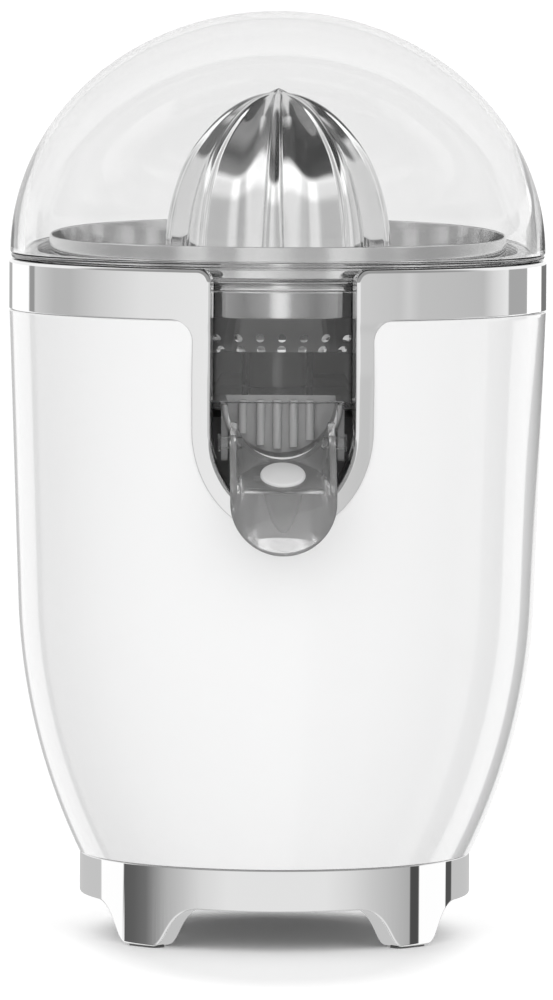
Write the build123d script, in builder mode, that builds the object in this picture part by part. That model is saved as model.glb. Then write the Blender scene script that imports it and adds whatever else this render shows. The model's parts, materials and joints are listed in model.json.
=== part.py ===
from build123d import *
import os
from math import cos, pi, radians, sin, tan

# Citrus press juicer, in millimetres. The front faces -Y and the feet stand on Z = 0.

# Base and feet
pad_height = 0.6
pad_length = 12.0
pad_width = 5.0
base_radius = 60.3
base_wall = 8.0
base_ring_height = 25.1
base_edge_round = 1.2
arch_height = 12.1
arch_top_width = 49.0
arch_foot_width = 71.8
arch_rise_steepness = 9.0
arch_shoulder_reach = 8.0

# White body shell
shell_wall = 2.8
shell_height = 167.4
shell_foot_overhang = 0.5
shell_shoulder_inset = 3.1
shell_shoulder_height = 77.3

# Bright band and slot surround
band_radius = 83.0
band_overhang = 0.1
band_thickness = 4.2
band_height = 15.5
band_edge_round = 1.6
slot_width = 44.0
surround_width = 5.5
surround_proud = 0.7
slot_arc_drop = 33.0
slot_arc_height = 26.0
surround_bottom_width = 5.5
slot_corner_round = 4.0
surround_flare = 6.5

# Share of each half axis that makes a four-point curve follow a quarter ellipse
ellipse_pull = 0.5523

# Clearances
seat_gap = 0.2
loose_gap = 0.5
running_gap = 0.05
part_gap = 0.1

# Clear bowl, gully and spout
bowl_side_gap = 2.8
bowl_wall = 2.0
bowl_depth = 40.4
bowl_floor = 2.2
bowl_flange_inset = 0.3
bowl_flange = 1.7
bowl_tube_height = 21.0
ledge_drop = 5.2
ledge_width = 2.2
ledge_thickness = 1.6
gully_depth = 16.7
gully_end_inset = 7.5
gully_back_gap = 1.0
cheek_margin = 4.0
cheek_height = 17.0
spout_slot_gap = 6.0
spout_side_gap = 0.5
spout_wall = 2.0
spout_swing_gap = 3.0
spout_run = 25.5
spout_step = 2.4
spout_slope = 45.0
spout_lip_rise = 19.2
spout_back_rise = 13.2
spout_pin_radius = 1.8
spout_pin_setback = 3.6
spout_pin_drop = 6.0
spout_pin_head = 0.8
spout_pin_head_radius = 2.6
seal_width = 13.4
seal_length = 10.0
seal_thickness = 2.6
seal_setback = 1.2

# Strainer
strainer_sheet = 0.8
strainer_side_gap = 1.2
strainer_rise = 8.4
strainer_fold_drop = 10.0
strainer_floor_drop = 21.0
strainer_floor_inset = 12.6
strainer_hole_radius = 1.5
strainer_wall_holes = 58
strainer_wall_row_drop = 6.8
strainer_collar_height = 5.0
strainer_flange_gap = 0.6
strainer_floor_rows = 3
strainer_row_step = 6.5

# Reamer
reamer_radius = 34.4
reamer_dome = 56.0
reamer_skirt = 3.4
reamer_wall = 1.2
reamer_lift_above_floor = 19.0
reamer_ribs = 8
reamer_rib_width = 6.0
reamer_rib_tip_width = 1.2
reamer_valley_depth = 3.0
hub_radius = 9.0
hub_flange = 2.5
hub_height = 30.0

# Lid
lid_inset = 0.4
lid_height = 74.3
lid_wall = 2.2

# Deck and slot liner
deck_gap = 4.0
deck_thickness = 4.0
liner_wall = 2.4
liner_gap = 0.4
liner_front_gap = 1.0
liner_gear_gap = 3.6
tower_wall = 2.0
lug_length = 14.0
lug_width = 11.0
lug_height = 10.0
lug_count = 4
screw_radius = 1.5
screw_head_radius = 3.0
screw_head_height = 2.2
screw_grip = 6.0
post_radius = 4.0
post_gap = 1.1
rear_post_angle = 12.0
front_post_angle = -43.0

# Drive train
shaft_radius = 4.0
shaft_travel = 3.0
shaft_engagement = 24.0
bush_wall = 2.6
seal_height = 3.0
gear_gap = 2.0
gear_addendum = 0.75
gear_dedendum = 1.2
output_teeth = 56
output_module = 1.25
output_thickness = 8.0
output_hub_radius = 9.0
idler_pinion_teeth = 14
idler_teeth = 48
idler_module = 1.0
idler_thickness = 7.0
idler_pin_radius = 2.5
motor_pinion_teeth = 12
cover_thickness = 3.0
cover_radius = 54.0
cover_offset = 10.0
spring_length = 10.0
spring_radius = 3.4
spring_wire = 0.8
spring_pitch = 2.2

# Motor, switch and inlet
motor_drop = 15.0
motor_radius = 30.0
motor_length = 58.0
motor_wall = 2.0
motor_flange_margin = 3.5
motor_screw_gap = 1.0
motor_flange = 2.0
motor_cap = 3.0
armature_gap = 6.0
armature_inset = 8.0
rotor_shaft_radius = 3.0
plunger_radius = 1.5
switch_size = 12.0
switch_height = 11.0
plate_thickness = 2.4
gland_radius = 6.0
gland_bore = 3.6
gland_flange_radius = 8.5
gland_flange = 2.0
gland_height = 9.0
gland_margin = 7.8

# Heights that follow from the sizes above
base_top = pad_height + base_ring_height
shell_top = base_top + shell_height
shell_shoulder = base_top + shell_shoulder_height
band_top = shell_top + band_height
flange_bottom = band_top + seat_gap
flange_top = flange_bottom + bowl_flange
lid_bottom = flange_top + seat_gap
bowl_floor_top = band_top - bowl_depth
bowl_bottom = bowl_floor_top - bowl_floor
deck_top = bowl_bottom - deck_gap
deck_bottom = deck_top - deck_thickness
ledge_top = flange_top - ledge_drop - bowl_flange
strainer_seat = ledge_top + seat_gap
strainer_top = strainer_seat + strainer_rise
strainer_floor = strainer_seat - strainer_floor_drop
reamer_bottom = strainer_floor + reamer_lift_above_floor
output_top = deck_bottom - gear_gap
output_bottom = output_top - output_thickness
idler_top = output_bottom - gear_gap
idler_bottom = idler_top - idler_thickness
shaft_bottom = idler_top - gear_gap
cover_top = shaft_bottom - spring_length
cover_bottom = cover_top - cover_thickness
motor_top = cover_bottom - motor_drop
motor_can_top = motor_top - motor_flange
motor_bottom = motor_can_top - motor_length
tower_top = bowl_floor_top + bowl_tube_height - seal_height
shaft_top = reamer_bottom + shaft_engagement

# Radii and distances that follow
half_turn = 180.0
shell_foot_radius = base_radius + shell_foot_overhang
shell_top_radius = band_radius - band_overhang
shell_shoulder_radius = shell_top_radius - shell_shoulder_inset
lid_radius = band_radius - lid_inset
bowl_flange_radius = lid_radius - bowl_flange_inset
bowl_radius = band_radius - band_thickness - bowl_side_gap
strainer_flange_radius = bowl_radius - bowl_wall - strainer_flange_gap
strainer_radius = bowl_radius - bowl_wall - ledge_width - strainer_side_gap
strainer_floor_radius = strainer_radius - strainer_floor_inset
gland_setback = base_radius - base_wall - gland_flange_radius - gland_margin
shell_taper = (shell_top_radius - shell_shoulder_radius) / (shell_top - shell_shoulder)
slot_half = slot_width / 2
surround_half = slot_half + surround_width
slot_arc_top = shell_top - slot_arc_drop
bush_radius = shaft_radius + bush_wall
tower_radius = bush_radius + tower_wall
tube_bore = tower_radius + loose_gap
tube_radius = tube_bore + bowl_wall
spout_half = slot_half - spout_slot_gap
gully_half = spout_half + spout_side_gap
output_tip_radius = output_module * (output_teeth / 2 + gear_addendum)
liner_back = output_tip_radius + liner_gear_gap + liner_wall
gully_back = liner_back + gully_back_gap
gully_end = bowl_radius - gully_end_inset
spout_back = gully_end + spout_swing_gap
spout_reach = spout_back + spout_run
cheek_end = spout_back + spout_pin_setback + cheek_margin
gully_center = bowl_floor_top - gully_depth + gully_half
spout_rise = tan(radians(spout_slope)) * spout_run
spout_lip_height = bowl_floor_top - gully_depth - spout_step - spout_rise
spout_center = spout_lip_height + spout_half
spout_back_bottom = spout_lip_height + spout_rise
spout_back_top = spout_back_bottom + spout_back_rise
spout_lip_top = spout_lip_height + spout_lip_rise
pin_y = -spout_back - spout_pin_setback
pin_z = spout_back_top - spout_pin_drop
idler_distance = output_module * (output_teeth + idler_pinion_teeth) / 2
motor_y = idler_distance - idler_module * (idler_teeth + motor_pinion_teeth) / 2
inner_deck_radius = shell_shoulder_radius + shell_taper * (deck_bottom - shell_shoulder) - shell_wall
deck_radius = inner_deck_radius - loose_gap
lug_radius = deck_radius - lug_length / 2 + 2 * loose_gap
deck_screw_radius = deck_radius - lug_length / 2
post_circle = output_tip_radius + post_gap + post_radius
post_places = []
for post_angle in (radians(rear_post_angle), radians(front_post_angle)):
    for side in (1, -1):
        post_places.append((side * post_circle * cos(post_angle), post_circle * sin(post_angle)))
motor_post_reach = motor_radius + motor_screw_gap + screw_radius
motor_flange_radius = motor_post_reach + motor_flange_margin
armature_radius = motor_radius - motor_wall - armature_gap
slot_bottom = slot_arc_top - slot_arc_height
slot_shell_radius = shell_shoulder_radius + shell_taper * (slot_bottom - shell_shoulder)
liner_front_radius = slot_shell_radius - shell_wall - liner_front_gap

slot_plane = Plane.XZ.offset(liner_back - liner_wall)

os.makedirs("parts", exist_ok=True)


def finish_piece(piece, name):
    """Label a finished piece and write it."""
    piece.label = name
    export_step(piece, f"parts/{name}.step")


def shell_outline(inset):
    """Close the shell's outer curve, moved in by an inset, onto the axis."""
    with BuildSketch() as outline:
        with BuildLine():
            flank = Line((shell_top_radius - inset, shell_top), (shell_shoulder_radius - inset, shell_shoulder))
            TangentArc(flank @ 1, (shell_foot_radius - inset, base_top), tangent=flank % 1)
            Polyline((shell_foot_radius - inset, base_top), (0, base_top), (0, shell_top),
                     (shell_top_radius - inset, shell_top))
        make_face()
    return outline.sketch


def slot_outline(half_width, arc_height, top):
    """Draw a slot seen from the front, with straight sides over a half ellipse."""
    with BuildSketch() as outline:
        with BuildLine():
            EllipticalCenterArc((0, slot_arc_top), half_width, arc_height,
                                start_angle=half_turn, arc_size=half_turn)
            Polyline((half_width, slot_arc_top), (half_width, top), (-half_width, top),
                     (-half_width, slot_arc_top))
        make_face()
    return outline.sketch


def flare_outline(half_width):
    """Draw the two hollow corners where the surround widens into the band."""
    flare_bottom = shell_top - surround_flare
    with BuildSketch() as outline:
        for side in (1, -1):
            with BuildLine():
                Line((side * half_width, flare_bottom), (side * half_width, shell_top))
                Line((side * half_width, shell_top), (side * (half_width + surround_flare), shell_top))
                RadiusArc((side * (half_width + surround_flare), shell_top), (side * half_width, flare_bottom),
                          -side * surround_flare)
            make_face()
    return outline.sketch


def channel_outline(half_width, center_height, top):
    """Draw a channel seen from the front, with straight sides over a half circle."""
    with BuildSketch() as outline:
        with BuildLine():
            CenterArc((0, center_height), half_width, half_turn, half_turn)
            Polyline((half_width, center_height), (half_width, top), (-half_width, top),
                     (-half_width, center_height))
        make_face()
    return outline.sketch


def quarter_ellipse(radius, height, base):
    """Give the four points of a curve that follows a quarter ellipse up to the axis."""
    return [(radius, base), (radius, base + ellipse_pull * height),
            (ellipse_pull * radius, base + height), (0, base + height)]


def gear_outline(teeth, module, turn):
    """Draw a spur gear whose slim teeth leave room in the mesh."""
    pitch = pi * module
    root_radius = module * (teeth / 2 - gear_dedendum)
    tip_radius = module * (teeth / 2 + gear_addendum)
    with BuildSketch() as outline:
        Circle(root_radius)
        with PolarLocations(0, teeth, start_angle=turn):
            Polygon((root_radius - module / 2, -0.25 * pitch), (tip_radius, -0.1 * pitch),
                    (tip_radius, 0.1 * pitch), (root_radius - module / 2, 0.25 * pitch), align=None)
    return outline.sketch


# Base: a ring on four feet, with an arch on each side.
with BuildPart() as base_ring:
    with BuildSketch(Plane.XY.offset(pad_height)):
        Circle(base_radius)
        Circle(base_radius - base_wall, mode=Mode.SUBTRACT)
    extrude(amount=base_ring_height)
    for arch_plane in (Plane.XZ, Plane.YZ):
        with BuildSketch(arch_plane):
            with BuildLine():
                foot = arch_foot_width / 2
                crown = arch_top_width / 2
                arch_top = pad_height + arch_height
                Bezier((-foot, pad_height), (-foot + arch_shoulder_reach / 2, pad_height + arch_rise_steepness),
                       (-crown - arch_shoulder_reach, arch_top), (-crown, arch_top))
                Line((-crown, arch_top), (crown, arch_top))
                Bezier((crown, arch_top), (crown + arch_shoulder_reach, arch_top),
                       (foot - arch_shoulder_reach / 2, pad_height + arch_rise_steepness), (foot, pad_height))
                Line((foot, pad_height), (-foot, pad_height))
            make_face()
        extrude(amount=2 * base_radius, both=True, mode=Mode.SUBTRACT)
    fillet(base_ring.edges().filter_by(GeomType.CIRCLE).group_by(Axis.Z)[-1].sort_by(SortBy.RADIUS)[-1],
           radius=base_edge_round)
    with Locations(Plane.XY.offset(pad_height + arch_height)):
        with PolarLocations(base_radius - base_wall / 2, 4):
            Cylinder(screw_radius + part_gap, base_ring_height,
                     align=(Align.CENTER, Align.CENTER, Align.MIN), mode=Mode.SUBTRACT)
            Cylinder(screw_head_radius + part_gap, screw_head_height,
                     align=(Align.CENTER, Align.CENTER, Align.MIN), mode=Mode.SUBTRACT)
finish_piece(base_ring.part, "base_ring")

with BuildPart() as foot_pads:
    with BuildSketch():
        with PolarLocations(base_radius - base_wall / 2, 4, start_angle=45):
            RectangleRounded(pad_width, pad_length, pad_width / 3)
    extrude(amount=pad_height)
finish_piece(foot_pads.part, "foot_pads")

with BuildPart() as base_plate:
    with BuildSketch(Plane.XY.offset(base_top)):
        Circle(shell_foot_radius - shell_wall - loose_gap)
        with PolarLocations(base_radius - base_wall / 2, 4):
            Circle(screw_radius + part_gap, mode=Mode.SUBTRACT)
        with Locations((0, gland_setback)):
            Circle(gland_radius + part_gap, mode=Mode.SUBTRACT)
    extrude(amount=plate_thickness)
finish_piece(base_plate.part, "base_plate")

with BuildPart() as base_screws:
    with Locations(Plane.XY.offset(pad_height + arch_height)):
        with PolarLocations(base_radius - base_wall / 2, 4):
            Cylinder(screw_head_radius, screw_head_height, align=(Align.CENTER, Align.CENTER, Align.MIN))
            Cylinder(screw_radius, base_top + plate_thickness - pad_height - arch_height,
                     align=(Align.CENTER, Align.CENTER, Align.MIN))
finish_piece(base_screws.part, "base_screws")

with BuildPart() as cord_gland:
    with Locations((0, gland_setback, base_top - gland_flange)):
        Cylinder(gland_flange_radius, gland_flange, align=(Align.CENTER, Align.CENTER, Align.MIN))
        Cylinder(gland_radius, gland_flange + gland_height, align=(Align.CENTER, Align.CENTER, Align.MIN))
        Cylinder(gland_bore, gland_flange + gland_height,
                 align=(Align.CENTER, Align.CENTER, Align.MIN), mode=Mode.SUBTRACT)
finish_piece(cord_gland.part, "cord_gland")

# White shell, open at both ends, with the slot at the front and lugs for the deck.
shell_solid = shell_outline(0)
shell_hollow = shell_outline(shell_wall)
body_slot = slot_outline(surround_half + part_gap, slot_arc_height + surround_bottom_width + part_gap, band_top)
body_flare = flare_outline(surround_half + part_gap)
with BuildPart() as body_shell:
    with BuildSketch(Plane.XZ):
        add(shell_solid)
    revolve(axis=Axis.Z)
    with BuildSketch(Plane.XZ):
        add(shell_hollow)
    revolve(axis=Axis.Z, mode=Mode.SUBTRACT)
    with Locations(Plane.XY.offset(deck_bottom)):
        with PolarLocations(lug_radius, lug_count, start_angle=45):
            Box(lug_length, lug_width, lug_height, align=(Align.CENTER, Align.CENTER, Align.MAX))
        with PolarLocations(deck_screw_radius, lug_count, start_angle=45):
            Cylinder(screw_radius + part_gap, screw_grip,
                     align=(Align.CENTER, Align.CENTER, Align.MAX), mode=Mode.SUBTRACT)
    with BuildSketch(slot_plane):
        add(body_slot)
        add(body_flare)
    extrude(amount=2 * band_radius, mode=Mode.SUBTRACT)
finish_piece(body_shell.part, "body_shell")

# Bright band with the U-shaped surround that lines the slot.
surround_outer = slot_outline(surround_half, slot_arc_height + surround_bottom_width, shell_top)
surround_corners = flare_outline(surround_half)
slot_inner = slot_outline(slot_half, slot_arc_height, band_top)
surround_skin = shell_outline(-surround_proud)
with BuildPart() as surround:
    with BuildSketch(slot_plane):
        add(surround_outer)
        add(surround_corners)
    extrude(amount=2 * band_radius)
    with BuildSketch(Plane.XZ):
        add(surround_skin)
    revolve(axis=Axis.Z, mode=Mode.INTERSECT)
    with BuildSketch(Plane.XZ):
        add(shell_hollow)
    revolve(axis=Axis.Z, mode=Mode.SUBTRACT)
with BuildPart() as trim_band:
    with BuildSketch(Plane.XY.offset(shell_top)):
        Circle(band_radius)
        Circle(band_radius - band_thickness, mode=Mode.SUBTRACT)
    extrude(amount=band_height)
    fillet(trim_band.edges().filter_by(GeomType.CIRCLE).sort_by(Axis.Z)[:2].sort_by(SortBy.RADIUS)[-1],
           radius=band_edge_round)
    add(surround.part)
    with BuildSketch(slot_plane):
        add(slot_inner)
    extrude(amount=2 * band_radius, mode=Mode.SUBTRACT)
    fillet(trim_band.edges().filter_by(Axis.Y).group_by(Axis.Z)[-1], radius=slot_corner_round)
finish_piece(trim_band.part, "trim_band")

# Dark trough behind the slot, hung under the notch of the deck.
liner_outer = slot_outline(slot_half + liner_gap + liner_wall, slot_arc_height + liner_wall, band_top)
liner_inner = slot_outline(slot_half + liner_gap, slot_arc_height, band_top)
with BuildPart() as slot_liner:
    with BuildSketch(slot_plane):
        add(liner_outer)
    extrude(amount=2 * band_radius)
    with BuildSketch(Plane.XY):
        Circle(liner_front_radius)
        with Locations((0, band_radius - liner_back + liner_wall)):
            Rectangle(2 * band_radius, 2 * band_radius, mode=Mode.SUBTRACT)
    extrude(amount=deck_bottom, mode=Mode.INTERSECT)
    with BuildSketch(Plane.XZ.offset(liner_back)):
        add(liner_inner)
    extrude(amount=2 * band_radius, mode=Mode.SUBTRACT)
finish_piece(slot_liner.part, "slot_liner")

# Deck that carries the drive, with a tower for the shaft and posts for the gear cover.
with BuildPart() as deck:
    with BuildSketch(Plane.XY.offset(deck_bottom)):
        Circle(deck_radius)
        with Locations((0, -liner_back - band_radius)):
            Rectangle(2 * (slot_half + liner_gap), 2 * band_radius, mode=Mode.SUBTRACT)
        with PolarLocations(deck_screw_radius, lug_count, start_angle=45):
            Circle(screw_radius + part_gap, mode=Mode.SUBTRACT)
    extrude(amount=deck_thickness)
    with BuildSketch(Plane.XY.offset(deck_top)):
        Circle(tower_radius)
    extrude(amount=tower_top - deck_top)
    with BuildSketch(Plane.XY.offset(cover_top)):
        with Locations(*post_places):
            Circle(post_radius)
    extrude(amount=deck_bottom - cover_top)
    with BuildSketch(Plane.XY.offset(cover_top)):
        with Locations(*post_places):
            Circle(screw_radius + part_gap)
    extrude(amount=screw_grip, mode=Mode.SUBTRACT)
    with BuildSketch(Plane.XY.offset(deck_bottom)):
        Circle(bush_radius + part_gap)
    extrude(amount=tower_top, mode=Mode.SUBTRACT)
    with BuildSketch(Plane.XY.offset(deck_bottom)):
        with Locations((0, idler_distance)):
            Circle(idler_pin_radius + part_gap)
    extrude(amount=deck_thickness / 2, mode=Mode.SUBTRACT)
finish_piece(deck.part, "deck")

with BuildPart() as deck_screws:
    with Locations(Plane.XY.offset(deck_top)):
        with PolarLocations(deck_screw_radius, lug_count, start_angle=45):
            Cylinder(screw_head_radius, screw_head_height, align=(Align.CENTER, Align.CENTER, Align.MIN))
            Cylinder(screw_radius, deck_thickness + screw_grip, align=(Align.CENTER, Align.CENTER, Align.MAX))
finish_piece(deck_screws.part, "deck_screws")

with BuildPart() as shaft_bush:
    with BuildSketch(Plane.XY.offset(deck_bottom)):
        Circle(bush_radius)
        Circle(shaft_radius + running_gap, mode=Mode.SUBTRACT)
    extrude(amount=tower_top - deck_bottom)
finish_piece(shaft_bush.part, "shaft_bush")

with BuildPart() as shaft_seal:
    with BuildSketch(Plane.XY.offset(tower_top)):
        Circle(tower_radius)
        Circle(shaft_radius + running_gap, mode=Mode.SUBTRACT)
    extrude(amount=seal_height)
finish_piece(shaft_seal.part, "shaft_seal")

# Drive train under the deck: pinion, compound idler, output gear and sliding shaft.
output_teeth_outline = gear_outline(output_teeth, output_module, 0)
idler_pinion_outline = gear_outline(idler_pinion_teeth, output_module, 0)
idler_teeth_outline = gear_outline(idler_teeth, idler_module, 0)
motor_pinion_outline = gear_outline(motor_pinion_teeth, idler_module, half_turn / motor_pinion_teeth)
with BuildPart() as output_gear:
    with BuildSketch(Plane.XY.offset(output_bottom)):
        add(output_teeth_outline)
    extrude(amount=output_thickness)
    with BuildSketch(Plane.XY.offset(output_bottom - gear_gap / 2)):
        Circle(output_hub_radius)
    extrude(amount=output_thickness + gear_gap)
    with BuildSketch(Plane.XY.offset(idler_bottom)):
        Circle(shaft_radius + running_gap)
    extrude(amount=deck_bottom - idler_bottom, mode=Mode.SUBTRACT)
finish_piece(output_gear.part, "output_gear")

with BuildPart() as idler_gear:
    with BuildSketch(Plane.XY.offset(idler_bottom)):
        with Locations((0, idler_distance)):
            add(idler_teeth_outline)
    extrude(amount=idler_thickness)
    with BuildSketch(Plane.XY.offset(idler_bottom)):
        with Locations((0, idler_distance)):
            add(idler_pinion_outline)
    extrude(amount=output_top - idler_bottom)
    with BuildSketch(Plane.XY.offset(idler_bottom)):
        with Locations((0, idler_distance)):
            Circle(idler_pin_radius + running_gap)
    extrude(amount=output_top - idler_bottom, mode=Mode.SUBTRACT)
finish_piece(idler_gear.part, "idler_gear")

with BuildPart() as idler_pin:
    with BuildSketch(Plane.XY.offset(cover_bottom)):
        with Locations((0, idler_distance)):
            Circle(idler_pin_radius)
    extrude(amount=deck_bottom + deck_thickness / 2 - cover_bottom)
    with BuildSketch(Plane.XY.offset(cover_top)):
        with Locations((0, idler_distance)):
            Circle(2 * idler_pin_radius)
    extrude(amount=idler_bottom - seat_gap - cover_top)
finish_piece(idler_pin.part, "idler_pin")

with BuildPart() as gear_cover:
    with BuildSketch(Plane.XY.offset(cover_bottom)):
        with Locations((0, cover_offset)):
            Circle(cover_radius)
        with Locations(*post_places):
            Circle(screw_radius + part_gap, mode=Mode.SUBTRACT)
        with Locations((0, idler_distance)):
            Circle(idler_pin_radius + part_gap, mode=Mode.SUBTRACT)
        with Locations((0, motor_y)):
            Circle(rotor_shaft_radius + loose_gap, mode=Mode.SUBTRACT)
        Circle(plunger_radius + part_gap, mode=Mode.SUBTRACT)
        with Locations((0, liner_wall + loose_gap - liner_back)):
            Rectangle(2 * surround_half, cover_radius, align=(Align.CENTER, Align.MAX), mode=Mode.SUBTRACT)
    extrude(amount=cover_thickness)
    with BuildSketch(Plane.XY.offset(cover_bottom)):
        with Locations((0, motor_y)):
            with PolarLocations(motor_post_reach, 3, start_angle=90):
                Circle(post_radius)
    extrude(amount=-motor_drop)
    with BuildSketch(Plane.XY.offset(motor_top)):
        with Locations((0, motor_y)):
            with PolarLocations(motor_post_reach, 3, start_angle=90):
                Circle(screw_radius + part_gap)
    extrude(amount=screw_grip, mode=Mode.SUBTRACT)
finish_piece(gear_cover.part, "gear_cover")

with BuildPart() as cover_screws:
    with Locations(Plane.XY.offset(cover_bottom)):
        with Locations(*post_places):
            Cylinder(screw_head_radius, screw_head_height, align=(Align.CENTER, Align.CENTER, Align.MAX))
            Cylinder(screw_radius, cover_thickness + screw_grip, align=(Align.CENTER, Align.CENTER, Align.MIN))
finish_piece(cover_screws.part, "cover_screws")

with BuildPart() as drive_shaft:
    with BuildSketch(Plane.XY.offset(shaft_bottom)):
        Circle(shaft_radius)
    extrude(amount=shaft_top - shaft_bottom)
    with BuildSketch(Plane.XY.offset(reamer_bottom + 2 * hub_flange)):
        Circle(2 * shaft_radius)
        RegularPolygon(shaft_radius, 6, mode=Mode.SUBTRACT)
    extrude(amount=shaft_engagement, mode=Mode.SUBTRACT)
finish_piece(drive_shaft.part, "drive_shaft")

with BuildPart() as return_spring:
    with BuildLine():
        coil = Helix(spring_pitch, spring_length - spring_wire - 2 * part_gap, spring_radius,
                     center=(0, 0, cover_top + part_gap + spring_wire / 2))
    with BuildSketch(Plane(origin=coil @ 0, z_dir=coil % 0)):
        Circle(spring_wire / 2)
    sweep(is_frenet=True)
finish_piece(return_spring.part, "return_spring")

# Switch under the cover, worked by a plunger inside the spring.
with BuildPart() as switch_body:
    with Locations((0, 0, cover_bottom)):
        Box(switch_size, switch_size, switch_height, align=(Align.CENTER, Align.CENTER, Align.MAX))
        Cylinder(plunger_radius + part_gap, switch_height - shaft_travel / 2,
                 align=(Align.CENTER, Align.CENTER, Align.MAX), mode=Mode.SUBTRACT)
finish_piece(switch_body.part, "switch_body")

with BuildPart() as switch_plunger:
    with BuildSketch(Plane.XY.offset(cover_bottom - switch_height / 2)):
        Circle(plunger_radius)
    extrude(amount=shaft_bottom - seat_gap - cover_bottom + switch_height / 2)
finish_piece(switch_plunger.part, "switch_plunger")

# Motor hung below the cover, with its armature and pinion.
with BuildPart() as motor_can:
    with BuildSketch(Plane.XY.offset(motor_can_top)):
        with Locations((0, motor_y)):
            Circle(motor_flange_radius)
            with PolarLocations(motor_post_reach, 3, start_angle=90):
                Circle(screw_radius + part_gap, mode=Mode.SUBTRACT)
    extrude(amount=motor_flange)
    with BuildSketch(Plane.XY.offset(motor_bottom)):
        with Locations((0, motor_y)):
            Circle(motor_radius)
            Circle(motor_radius - motor_wall, mode=Mode.SUBTRACT)
    extrude(amount=motor_length)
    with BuildSketch(Plane.XY.offset(motor_can_top)):
        with Locations((0, motor_y)):
            Circle(rotor_shaft_radius + running_gap)
    extrude(amount=motor_flange, mode=Mode.SUBTRACT)
finish_piece(motor_can.part, "motor_can")

with BuildPart() as motor_screws:
    with Locations((0, motor_y, motor_can_top)):
        with PolarLocations(motor_post_reach, 3, start_angle=90):
            Cylinder(screw_head_radius - loose_gap, screw_head_height,
                     align=(Align.CENTER, Align.CENTER, Align.MAX))
            Cylinder(screw_radius, motor_flange + screw_grip, align=(Align.CENTER, Align.CENTER, Align.MIN))
finish_piece(motor_screws.part, "motor_screws")

with BuildPart() as motor_end_cap:
    with BuildSketch(Plane.XY.offset(motor_bottom - motor_cap)):
        with Locations((0, motor_y)):
            Circle(motor_radius)
            Circle(rotor_shaft_radius + running_gap, mode=Mode.SUBTRACT)
    extrude(amount=motor_cap)
finish_piece(motor_end_cap.part, "motor_end_cap")

with BuildPart() as motor_rotor:
    with BuildSketch(Plane.XY.offset(motor_bottom - motor_cap)):
        with Locations((0, motor_y)):
            Circle(rotor_shaft_radius)
    extrude(amount=idler_top - motor_bottom + motor_cap)
    with BuildSketch(Plane.XY.offset(motor_bottom + armature_inset)):
        with Locations((0, motor_y)):
            Circle(armature_radius)
    extrude(amount=motor_length - 2 * armature_inset)
    with BuildSketch(Plane.XY.offset(idler_bottom)):
        with Locations((0, motor_y)):
            add(motor_pinion_outline)
    extrude(amount=idler_thickness)
finish_piece(motor_rotor.part, "motor_rotor")

# Clear bowl with its rim flange, strainer ledge, centre tube and front gully.
gully_outer = channel_outline(gully_half + bowl_wall, gully_center, bowl_floor_top)
gully_inner = channel_outline(gully_half, gully_center, bowl_floor_top)
with BuildPart() as juice_bowl:
    with BuildSketch(Plane.XZ):
        with Locations((bowl_radius - bowl_wall, bowl_bottom)):
            Rectangle(bowl_wall, flange_top - bowl_bottom, align=Align.MIN)
        with Locations((tube_bore, bowl_bottom)):
            Rectangle(bowl_radius - tube_bore, bowl_floor, align=Align.MIN)
            Rectangle(bowl_wall, bowl_floor + bowl_tube_height, align=Align.MIN)
        with Locations((bowl_radius - bowl_wall, flange_bottom)):
            Rectangle(bowl_flange_radius - bowl_radius + bowl_wall, bowl_flange, align=Align.MIN)
        with Locations((bowl_radius - bowl_wall - ledge_width, ledge_top - ledge_thickness)):
            Rectangle(ledge_width + bowl_wall / 2, ledge_thickness, align=Align.MIN)
    revolve(axis=Axis.Z)
    with BuildSketch(Plane.XZ.offset(gully_back)):
        add(gully_outer)
    extrude(amount=gully_end - gully_back)
    with BuildSketch(Plane.XZ.offset(gully_end)):
        for cheek_x in (gully_half, -gully_half - bowl_wall):
            with Locations((cheek_x, bowl_floor_top - cheek_height)):
                Rectangle(bowl_wall, cheek_height, align=Align.MIN)
    extrude(amount=cheek_end - gully_end)
    with BuildSketch(Plane.XZ.offset(gully_back + bowl_wall)):
        add(gully_inner)
    extrude(amount=2 * band_radius, mode=Mode.SUBTRACT)
    with BuildSketch(Plane.YZ):
        with Locations((pin_y, pin_z)):
            Circle(spout_pin_radius + running_gap)
    extrude(amount=slot_half, both=True, mode=Mode.SUBTRACT)
finish_piece(juice_bowl.part, "juice_bowl")

# Clear chute that hangs on two pins between the cheeks of the gully.
spout_direction = (0, cos(radians(spout_slope)), sin(radians(spout_slope)))
spout_length = (spout_reach - spout_back) / cos(radians(spout_slope))
spout_outer = channel_outline(spout_half, spout_center, spout_center + spout_half)
spout_inner = channel_outline(spout_half - spout_wall, spout_center, spout_center + 2 * spout_half)
with BuildPart() as spout:
    with BuildSketch(Plane.XZ.offset(spout_reach)):
        add(spout_outer)
    extrude(amount=spout_length, dir=spout_direction)
    with BuildSketch(Plane.XZ.offset(spout_reach)):
        add(spout_inner)
    extrude(amount=spout_length, dir=spout_direction, mode=Mode.SUBTRACT)
    with BuildSketch(Plane.YZ):
        Polygon((-spout_reach, spout_lip_height - spout_wall), (-spout_back, spout_back_bottom - spout_wall),
                (-spout_back, spout_back_top), (-spout_reach, spout_lip_top), align=None)
    extrude(amount=slot_width, both=True, mode=Mode.INTERSECT)
    with BuildSketch(Plane.YZ):
        with Locations((pin_y, pin_z)):
            Circle(spout_pin_radius + running_gap / 2)
    extrude(amount=slot_half, both=True, mode=Mode.SUBTRACT)
finish_piece(spout.part, "spout")

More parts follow.
